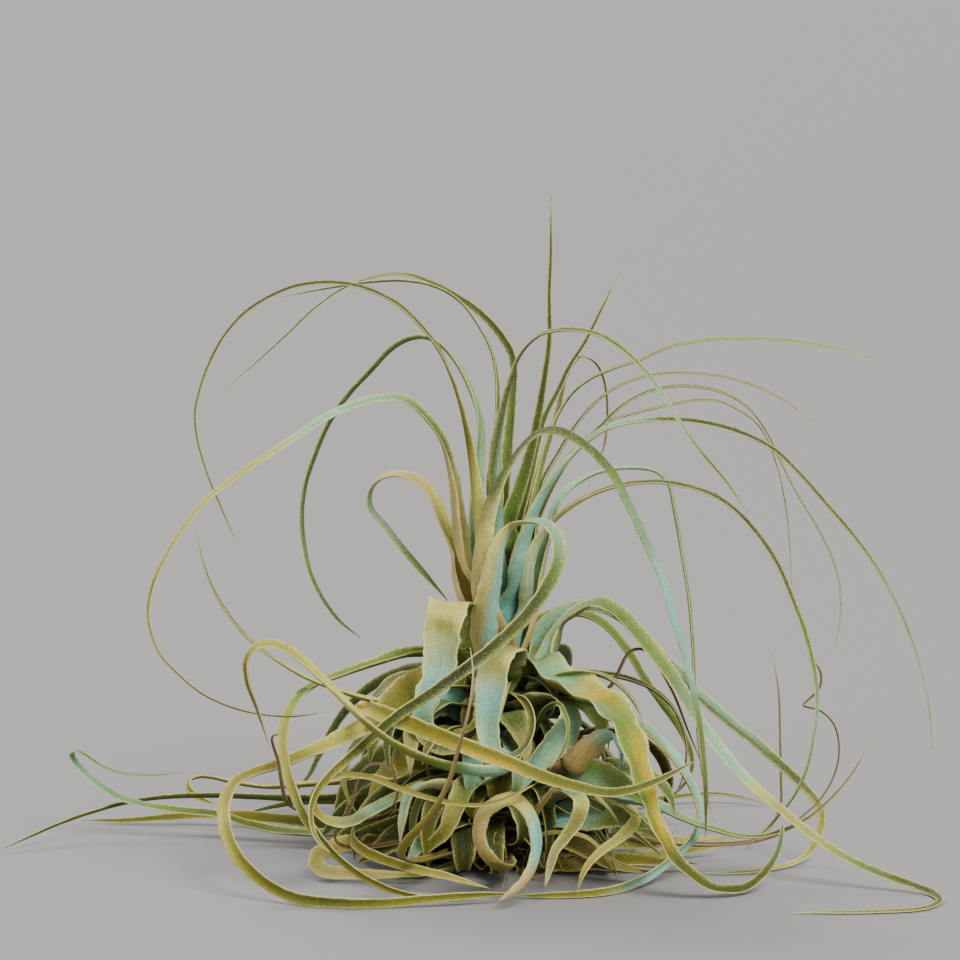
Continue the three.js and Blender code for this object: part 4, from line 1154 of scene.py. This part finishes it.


# The bark and moss tones of the low inner leaves paint the deep shade inside the plant
INNER_LEAVES = (
    InnerLeaf("moss sage aqua sage olive/moss sage olive mint olive sage", 15, (0, -0.9, 0.4), (
        (16.5, -18, 23.9), (22.4, -28, 25), (30.4, -36, 25.8), (38.7, -42, 26.3), (46.3, -46, 25.1),
        (52.7, -47, 21.9))),
    InnerLeaf("moss olive sage mint sage sage/moss olive olive sage sage olive", 13, (0, -0.95, 0.3), (
        (17.2, -16, 31.2), (25.5, -30, 37.5), (33, -38, 39.6), (40.5, -41, 37.5), (47, -41, 33),
        (51.5, -40, 28))),
    InnerLeaf("moss mint aqua sage", 9, (-0.2, -1, 0.2), (
        (-4.2, -16, 48.7), (-8.4, -28, 46.6), (-9.7, -34, 41.2), (-10.4, -35, 34.7), (-9.4, -33, 29))),
    InnerLeaf("sage aqua mint olive", 9, (0.2, -1, 0.2), (
        (3.4, -18, 49.1), (5.6, -30, 46.3), (6.6, -36, 41.3), (5.9, -37, 35.5), (3.2, -35, 30.2))),
    InnerLeaf("mint sage straw ochre ochre olive", 11.5, (-0.3, -0.9, 0.4), (
        (-13.3, -6, 62.7), (-23.6, -14, 68.5), (-32.8, -20, 65.4), (-39.6, -24, 58.5), (-44, -26, 49),
        (-45.4, -25, 39.9))),
    InnerLeaf("sage mint aqua aqua olive", 11, (-0.1, -1, 0.3), (
        (-11.9, -8, 56.6), (-20.1, -18, 61.5), (-27.3, -24, 58.5), (-30.6, -27, 51), (-31.3, -26, 43))),
    InnerLeaf("moss moss olive gold gold straw ochre", 10.5, (-0.5, -0.7, 0.5), (
        (-6, -14, 67.8), (-5, -28, 63.6), (-5.6, -33, 56.8), (-10.4, -34, 52.4), (-17.2, -31, 51.8),
        (-22.1, -26, 53.6))),
    InnerLeaf("bark moss moss olive", 14, (0, -0.85, 0.5), (
        (-10, 2, 14), (-24, 4, 22), (-38, 5, 24), (-50, 6, 18), (-58, 6, 8))),
    InnerLeaf("bark moss moss olive", 13, (-0.2, -0.9, 0.4), (
        (-10, -4, 20), (-22, -10, 28), (-34, -14, 28), (-44, -18, 22), (-50, -20, 13), (-51, -21, 5))),
    InnerLeaf("bark moss moss olive", 12, (0, -0.85, 0.5), (
        (-9, -8, 10), (-20, -14, 15), (-32, -20, 15), (-42, -24, 10), (-50, -26, 5))),
    InnerLeaf("bark olive sage olive ochre", 13, (0, -0.85, 0.5), (
        (-11, 6, 30), (-24, 12, 36), (-38, 16, 34), (-50, 18, 26), (-57, 18, 14), (-58, 17, 5))),
    InnerLeaf("moss olive ochre straw ochre", 12, (-0.3, -0.8, 0.5), (
        (-10, -1, 26), (-22, -3, 36), (-33, -5, 36), (-41, -7, 29), (-44, -8, 20), (-42, -9, 12))),
    InnerLeaf("bark moss olive sage mint", 10, (-0.2, -0.7, 0.7), (
        (-8, -10, 16), (-15, -20, 20), (-22, -28, 18), (-29, -33, 12), (-33, -35, 6))),
    InnerLeaf("bark moss olive ochre straw straw tan straw ochre", 6.5, (0, -0.8, 0.6), (
        (-8, -7, 5), (-24, -10, 8), (-42, -15, 10), (-57, -20, 10), (-64, -24, 7), (-62, -29, 4),
        (-52, -33, 3.5), (-36, -35, 3.5), (-22, -36, 3.5))),
    InnerLeaf("bark moss olive sage olive", 12, (0, -0.85, 0.5), (
        (10, 2, 12), (24, 4, 18), (38, 5, 18), (50, 5, 12), (60, 5, 5))),
    InnerLeaf("bark moss ochre ochre olive", 7, (0, -0.5, 0.85), (
        (9, -8, 8), (20, -14, 9), (36, -18, 6), (54, -20, 4.5), (70, -20, 3.5))),
    InnerLeaf("bark olive ochre tan ochre", 8, (0, -0.6, 0.8), (
        (8, -10, 14), (16, -20, 16), (26, -28, 13), (38, -33, 7), (50, -35, 4))),
    InnerLeaf("bark moss moss olive", 15, (-0.1, -0.9, 0.4), (
        (-12, 4, 12), (-28, 8, 17), (-44, 10, 18), (-57, 10, 13), (-64, 10, 6))),
    InnerLeaf("bark moss olive olive", 15, (-0.1, -0.9, 0.4), (
        (-10, -2, 8), (-26, -2, 11), (-42, -3, 12), (-54, -4, 10), (-60, -4, 5))),
    InnerLeaf("moss moss olive sage", 12, (0, -0.95, 0.3), (
        (-8, -8, 45), (-14, -10, 50.5), (-20, -11, 53), (-27, -11, 51), (-33, -11, 44))),
    InnerLeaf("moss moss olive sage", 9, (0, -1, 0.2), (
        (-6, -4, 61), (-11, -4, 69), (-15.5, -4, 74), (-21, -4, 75.5), (-25, -4, 71))),
    InnerLeaf("sage olive sage olive sage olive", 2.2, (0.3, -0.9, 0.3), (
        (10.3, -16, 48.7), (16.2, -30, 61.1), (20.8, -40, 63.8), (23.1, -44, 57), (21, -45, 48.9),
        (16.3, -44, 41.7))),
    InnerLeaf("bark ochre straw tan straw ochre straw", 6.5, (0, -0.6, 0.8), (
        (10.3, -14, 4.9), (19.2, -20, 3.5), (34.4, -17, 3.5), (52.2, -7, 3.5), (70.1, 2, 3.5),
        (80.2, 6, 3.6))),
    InnerLeaf("bark ochre straw ochre straw tan", 5, (0, -0.7, 0.7), (
        (13.9, -6, 9.4), (28, 0, 6.5), (45.7, 6, 4.7), (67.2, 13, 4.5), (83.5, 18, 4.4))),
    InnerLeaf("dry straw tan straw dry", 1.6, (0, -1, 0.2), (
        (10.2, -20, 19.2), (15.4, -40, 31), (20, -47, 37.8), (25.3, -48, 38.7), (31.4, -47, 35),
        (37.5, -46, 28.8), (41.7, -44, 20.7), (43.1, -42, 13.9))),
    InnerLeaf("dry tan straw dry", 1.4, (0, -1, 0.2), (
        (10.2, -20, 12.8), (20.2, -38, 19.2), (30.1, -46, 19), (37.6, -44, 11.5), (47.3, -38, 6.5),
        (59.9, -32, 4.3))),
    InnerLeaf("moss olive moss olive", 3.2, (0, -1, 0.2), (
        (8.6, -12, 24.5), (20.4, -28, 31.8), (33.8, -38, 28.4), (47.4, -36, 17.4), (57.3, -30, 8.1))),
    InnerLeaf("sage olive moss sage olive", 12, (0.2, -0.9, 0.4), (
        (13.9, -8, 57.7), (22.5, -12, 63.8), (31, -16, 61.1), (35.1, -18, 53.7), (35.8, -18, 45.5))),
)


@dataclass(frozen=True)
class Taper:
    """A short leaf's width along it: a share at its root, a belly midway, and a point at its tip."""

    root: float
    belly: float
    power: float

    def across(self, width: float, t: Array) -> Array:
        """The width by share of the length: root plus belly times t(1 - t), all times 1 - t^power."""
        return width * (self.root + self.belly * t * (1 - t)) * (1 - t**self.power)


@dataclass
class HeartLeaves:
    """The short broad leaves that fill the heart of the plant, between the stem and the long leaves.

    Each starts in the spiral, rises, and curls over and down, with its heading turning faster
    towards its tip, and with some drift and twist to one side.
    """

    profile: StemProfile
    count: int = 72
    golden_angle: float = 2.39996
    first_azimuth: float = 0.9
    lowest: float = 7 * MM
    highest: float = 68 * MM
    lengths: tuple[float, float] = (40 * MM, 80 * MM)
    front_shortening: float = 0.42
    widths: tuple[float, float] = (8.5 * MM, 14 * MM)
    heart_taper: Taper = Taper(0.85, 0.5, 2.6)
    inner_taper: Taper = Taper(0.8, 0.8, 4)
    rises: tuple[float, float] = (10.0, 50.0)
    curls: tuple[float, float] = (110.0, 270.0)
    curl_power: float = 1.5
    drift_degrees: float = 70.0
    twist_degrees: float = 50.0
    channel: float = 0.12
    steps: int = 26
    root_drop: float = 3 * MM
    table_gap: float = 2.5 * MM
    under_shade: float = 0.8
    draw_seed: int = SEED + 7000
    blade_seed: int = SEED + 9000
    # The low leaves' dark bark and moss tones paint the deep shade in the heart of the plant
    low_shaded_looks: tuple[str, ...] = (
        "bark moss moss olive", "bark moss ochre", "moss olive sage mint", "bark bark moss"
    )
    high_looks: tuple[str, ...] = (
        "mint sage olive straw", "aqua mint sage olive", "mint sage ochre olive"
    )

    def lines(self, number: int) -> LeafLines:
        """Lines of one heart leaf.

        Args:
            number: Its place from the foot up.

        Returns:
            Its lines, from the foot of its sheath to its tip.
        """
        draw = np.random.default_rng(self.draw_seed + number)
        length, width = draw.uniform(*self.lengths), draw.uniform(*self.widths)
        rise, curl = np.radians(draw.uniform(*self.rises)), np.radians(draw.uniform(*self.curls))
        drift = np.radians(draw.uniform(-1, 1) * self.drift_degrees)
        twist = np.radians(draw.uniform(-1, 1) * self.twist_degrees)
        azimuth = self.first_azimuth + self.golden_angle * number
        length *= 1 - self.front_shortening * max(0.0, -math.sin(azimuth)) ** 2
        height = self.lowest + (self.highest - self.lowest) * number / (self.count - 1)
        t = np.linspace(0, 1, self.steps)
        heading = azimuth + drift * t**2
        root = self.profile.surface(azimuth, height)
        path, tangent = headed_path(root, rise - curl * t**self.curl_power, heading, length)
        path[:, 2] = np.maximum(path[:, 2], self.table_gap)
        level = np.stack([-np.sin(heading), np.cos(heading), np.zeros(self.steps)], axis=1)
        up = np.cross(tangent, level)
        side = level * np.cos(twist * t)[:, None] + up * np.sin(twist * t)[:, None]
        across = self.heart_taper.across(width, t)
        return LeafLines.along(self.profile, path, side, across, self.channel)

    def lines_through(self, leaf: InnerLeaf) -> LeafLines:
        """Lines of one inner leaf: a cubic curve from the stem through its way, turned to its facing.

        Args:
            leaf: The leaf.

        Returns:
            Its lines, from the foot of its sheath to its tip.
        """
        way = np.array(leaf.way) * MM
        height = way[0, 2] - self.root_drop
        outward = unit(way[0] * (1, 1, 0))
        radius = np.interp(height, self.profile.heights, self.profile.radii)
        points = np.vstack([outward * radius + (0, 0, height), way])
        stations = distance_along(points)
        path = eased(stations, points, np.linspace(0, stations[-1], self.steps))
        side = unit(np.cross(np.array(leaf.facing), unit(np.gradient(path, axis=0))))
        across = self.inner_taper.across(leaf.width * MM, np.linspace(0, 1, self.steps))
        return LeafLines.along(self.profile, path, side, across, self.channel)

    def piece(
        self, place: int, name: str, slot: str, leaves: Sequence[LeafLines], looks: Sequence[str]
    ) -> bpy.types.Object:
        """Builds a set of leaves as one piece.

        Args:
            place: The set's place among the sets, which also seeds its random draws.
            name: The piece's name.
            slot: Its material slot.
            leaves: The lines of its leaves.
            looks: The tones of each.

        Returns:
            The piece.
        """
        surfaces, first = [], 0
        for number, (lines, words) in enumerate(zip(leaves, looks)):
            blade = Blade(lines, self.blade_seed + number + place * self.count)
            tone = Look.along(words, blade.distance / blade.distance[-1])
            points, faces, uv, colour = leaf_surface(blade, tone, tone[::-1] * self.under_shade)
            surfaces.append((points, [group + first for group in faces], uv, colour))
            first += len(points)
        points, groups, uv, colour = zip(*surfaces)
        faces = [group for leaf in groups for group in leaf]
        piece = make_mesh(name, np.vstack(points), faces, np.vstack(uv), np.vstack(colour))
        return dress(piece, SKINS[slot].material())

    def build(self) -> list[bpy.types.Object]:
        """Builds the low leaves, the high leaves and the inner leaves, each set as one piece.

        Returns:
            The three pieces.
        """
        half = self.count // 2
        heart = [self.lines(number) for number in range(self.count)]
        inner = [self.lines_through(leaf) for leaf in INNER_LEAVES]
        looks = [self.low_shaded_looks[number % len(self.low_shaded_looks)] for number in range(half)]
        looks += [self.high_looks[number % len(self.high_looks)] for number in range(half, self.count)]
        sets = (
            ("low_heart_leaves", "leaf_ochre", heart[:half], looks[:half]),
            ("high_heart_leaves", "leaf_mint", heart[half:], looks[half:]),
            ("inner_leaves", "leaf_sage", inner, [leaf.tones for leaf in INNER_LEAVES]),
        )
        return [self.piece(place, *leaves) for place, leaves in enumerate(sets)]


@dataclass
class WiryRoots:
    """The dry hair-thin roots at the foot of the stem: tubes along wandering paths near the table."""

    profile: StemProfile
    count: int = 26
    sides: int = 5
    steps: int = 40
    foot_heights: tuple[float, float] = (2.5 * MM, 14 * MM)
    lengths: tuple[float, float] = (36 * MM, 84 * MM)
    radii: tuple[float, float] = (0.16 * MM, 0.3 * MM)
    tip_radius: float = 0.08 * MM
    depth: float = 0.5 * MM
    middle_azimuth: float = -0.55
    spread: float = 1.25
    wander_length: float = 9 * MM
    most_turn: float = 1.3
    most_pitch: float = 0.9
    pitch_length: float = 7.2 * MM
    lowest: float = 0.5 * MM
    across: tuple[float, float, float] = (0.31, 0.17, 0.93)
    draw_seed: int = SEED + 5000
    heading_seed: int = 60
    pitch_seed: int = 90
    patch_size: float = 5 * MM
    patch_between: tuple[float, float] = (0.35, 0.65)
    straw_light: float = 0.7
    grain_size: float = 0.4 * MM
    grain_height: float = 0.1 * MM

    def path(self, number: int) -> tuple[Array, Array]:
        """Path and radius of one root.

        Its heading and its pitch wander smoothly, and it stays above the table.

        Args:
            number: Seeds its draws.

        Returns:
            Points from the stem out, and the radius at each.
        """
        draw = np.random.default_rng(self.draw_seed + number)
        azimuth = self.middle_azimuth + draw.uniform(-1, 1) * self.spread
        height = draw.uniform(*self.foot_heights)
        length = draw.uniform(*self.lengths)
        distance = np.linspace(0, length, self.steps)
        turn = wander(number + self.heading_seed, distance, self.wander_length)
        pitch = self.most_pitch * wander(number + self.pitch_seed, distance, self.pitch_length)
        root = self.profile.surface(azimuth, height, self.depth)
        path, _ = headed_path(root, pitch, azimuth + self.most_turn * turn, length)
        path[:, 2] = self.lowest + np.abs(path[:, 2] - self.lowest)
        return path, np.linspace(draw.uniform(*self.radii), self.tip_radius, self.steps)

    def build(self) -> bpy.types.Object:
        """Builds all the roots as one piece, each a ring of points carried along its path.

        Returns:
            The piece.
        """
        angle = np.linspace(0, 2 * np.pi, self.sides, endpoint=False)
        ends = np.arange(self.sides)
        points, faces = [], []
        for number in range(self.count):
            path, radius = self.path(number)
            along = unit(np.gradient(path, axis=0))
            side = unit(np.cross(along, np.array(self.across)))
            up = np.cross(along, side)
            ring = path[:, None] + radius[:, None, None] * (
                side[:, None] * np.cos(angle)[None, :, None] + up[:, None] * np.sin(angle)[None, :, None]
            )
            first = number * self.steps * self.sides
            faces.append(first + tube_quads(self.steps, self.sides))
            faces.append((first + ends[::-1])[None])
            faces.append((first + (self.steps - 1) * self.sides + ends)[None])
            points.append(ring.reshape(-1, 3))
        roots = plain_mesh("wiry_roots", np.vstack(points), faces, Tone.RUST)
        return dress(roots, self.material())

    def material(self) -> bpy.types.Material:
        """Wiry brown skin with lighter stretches."""
        nodes = Nodes("wiry root skin")
        patch = nodes.noise(self.patch_size).ramp(*self.patch_between)
        colour = nodes.mix(patch, Tone.RUST.shaded(), Tone.STRAW.shaded(self.straw_light))
        relief = nodes.bump(nodes.noise(self.grain_size), self.grain_height)
        return nodes.finish(Base_Color=colour, Roughness=0.7, Normal=relief)


@dataclass
class Stem:
    """The old stem: a turned form with the scars of fallen leaves raised in a spiral."""

    profile: StemProfile
    around: int = 96
    up: int = 160
    left_scars: int = 8
    right_scars: int = 13
    left_turn: float = 26.0
    right_turn: float = 40.0
    scar_height: float = 0.5 * MM
    fibre_scale: tuple[float, float, float] = (900, 900, 90)
    fibre_between: tuple[float, float] = (0.35, 0.7)
    fibre_shade: float = 0.5
    patch_size: float = 6 * MM
    patches: Layer = Layer(0.5, 0.8, 0.6)
    patch_shade: float = 0.3
    relief_height: float = 0.5 * MM

    def build(self) -> bpy.types.Object:
        """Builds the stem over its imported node, as radius by angle and height with two crossed
        families of waves, and closes it at both ends.

        Returns:
            The stem object.
        """
        levels, outer = self.profile.heights, self.profile.radii
        z = np.linspace(levels[0], levels[-1], self.up)
        side = np.interp(z, levels, outer) - self.scar_height
        angle = np.linspace(0, 2 * np.pi, self.around, endpoint=False)
        share = (z / levels[-1])[:, None]
        leftward = np.sin(self.left_scars * angle + self.left_turn * share)
        rightward = np.sin(self.right_scars * angle - self.right_turn * share)
        r = side[:, None] + self.scar_height * (leftward * rightward)
        r[0] = side[0]
        heights = np.repeat(z[:, None], self.around, 1)
        ring = np.stack([r * np.cos(angle), r * np.sin(angle), heights], axis=-1)
        ends = np.array([[0, 0, levels[0]], [0, 0, levels[-1]]])
        quads = tube_quads(self.up, self.around)
        k = np.arange(self.around)
        after = (k + 1) % self.around
        foot = np.stack([after, k, np.full_like(k, self.up * self.around)], axis=1)
        top = (self.up - 1) * self.around
        cap = np.stack([k + top, after + top, np.full_like(k, self.up * self.around + 1)], axis=1)
        points = np.vstack([ring.reshape(-1, 3), ends])
        stem = plain_mesh("old_stem", points, [quads, foot, cap], Tone.BARK)
        return dress(stem, self.material(), "stem")

    def material(self) -> bpy.types.Material:
        """Dry brown fibre: fine lengthwise streaks over dark and light patches."""
        nodes = Nodes("old stem fibre")
        fibre = nodes.streaks(nodes.place(), self.fibre_scale)
        patch = nodes.noise(self.patch_size, 3)
        streak = fibre.ramp(*self.fibre_between)
        colour = nodes.mix(streak, Tone.BARK.shaded(self.fibre_shade), Tone.RUST.shaded())
        colour = nodes.mix(self.patches.of(patch), colour, Tone.BARK.shaded(self.patch_shade))
        relief = nodes.bump(fibre + patch, self.relief_height)
        return nodes.finish(Base_Color=colour, Roughness=0.92, Normal=relief)


@dataclass
class Studio:
    """Plain pale floor, soft light, and the camera a little above the plant."""

    target: Place = (-7 * MM, 0, 136.3 * MM)
    pitch_degrees: float = 8.0
    camera_distance: float = 1.3
    lens_mm: float = 139.3
    sensor_mm: float = 36.0
    clip_start: float = 0.01
    floor_size: float = 80.0
    floor_colour: Colour = (0.268, 0.263, 0.26)
    softness_degrees: float = 28.0
    room_colour: tuple[float, float, float, float] = (0.8, 0.8, 0.82, 1)
    room_strength: float = 0.64

    def camera(self) -> None:
        """Makes the camera."""
        data = bpy.data.cameras.new("camera")
        data.lens = self.lens_mm
        data.sensor_width = self.sensor_mm
        data.clip_start = self.clip_start
        camera = bpy.data.objects.new("camera", data)
        pitch = math.radians(self.pitch_degrees)
        away = Vector((0, -math.cos(pitch), math.sin(pitch))) * self.camera_distance
        camera.location = Vector(self.target) + away
        camera.rotation_euler = (-away).to_track_quat("-Z", "Y").to_euler()
        bpy.context.scene.collection.objects.link(camera)
        bpy.context.scene.camera = camera

    def floor(self) -> None:
        """Makes the floor."""
        half = self.floor_size / 2
        mesh = bpy.data.meshes.new("floor")
        corners = [(-half, -half, 0), (half, -half, 0), (half, half, 0), (-half, half, 0)]
        mesh.from_pydata(corners, [], [(0, 1, 2, 3)])
        floor = bpy.data.objects.new("floor", mesh)
        nodes = Nodes("pale floor")
        mesh.materials.append(nodes.finish(Base_Color=self.floor_colour, Roughness=0.8))
        bpy.context.scene.collection.objects.link(floor)

    def light(
        self, kind: str, name: str, place: Place, power: float, colour: Colour, **extent: float
    ) -> None:
        """Makes one soft light.

        Args:
            kind: AREA for a square that faces the plant, or SUN for one that lights the floor evenly.
            name: Its name.
            place: Where a square one stands, or the side that a distant one shines from.
            power: Its watts, for each square metre of a distant one.
            colour: Its colour.
            extent: The side of a square one, or the angle of a distant one.
        """
        data = bpy.data.lights.new(name, kind)
        data.energy = power
        data.color = colour
        for key, value in extent.items():
            setattr(data, key, value)
        faced = Vector(self.target) if kind == "AREA" else Vector()
        light = bpy.data.objects.new(name, data)
        light.location = place
        light.rotation_euler = (faced - Vector(place)).to_track_quat("-Z", "Y").to_euler()
        bpy.context.scene.collection.objects.link(light)

    def build(self) -> None:
        """Makes the floor, the lights, the surrounding light and the camera."""
        self.camera()
        self.floor()
        soft = math.radians(self.softness_degrees)
        self.light("SUN", "window light", (0.5, -0.75, 1.0), 4.2, (1.0, 0.98, 0.94), angle=soft)
        self.light("SUN", "back light", (-0.6, 0.8, 0.9), 2.0, (1.0, 0.98, 0.95), angle=soft)
        self.light("AREA", "fill light", (-1.2, -0.9, 0.6), 8, (0.95, 0.97, 1.0), size=1.2)
        world = bpy.data.worlds.new("room")
        world.use_nodes = True
        background = world.node_tree.nodes["Background"]
        background.inputs["Color"].default_value = self.room_colour
        background.inputs["Strength"].default_value = self.room_strength
        bpy.context.scene.world = world


def main() -> None:
    """Builds the plant and its surroundings."""
    logging.basicConfig(level=logging.INFO, format="%(name)s %(message)s")
    Studio().build()
    profile = StemProfile.of(WeldedNode(frame["nodes"]["stem"]))
    stem = Stem(profile).build()
    LOG.info("%s: %d faces", stem.name, len(stem.data.polygons))
    roots = WiryRoots(profile).build()
    LOG.info("%s: %d faces", roots.name, len(roots.data.polygons))
    for piece in HeartLeaves(profile).build():
        LOG.info("%s: %d faces", piece.name, len(piece.data.polygons))
    faces = Leaves(profile).build_all()
    LOG.info("leaves: %d faces in all", faces)


if __name__ == "__main__":
    main()
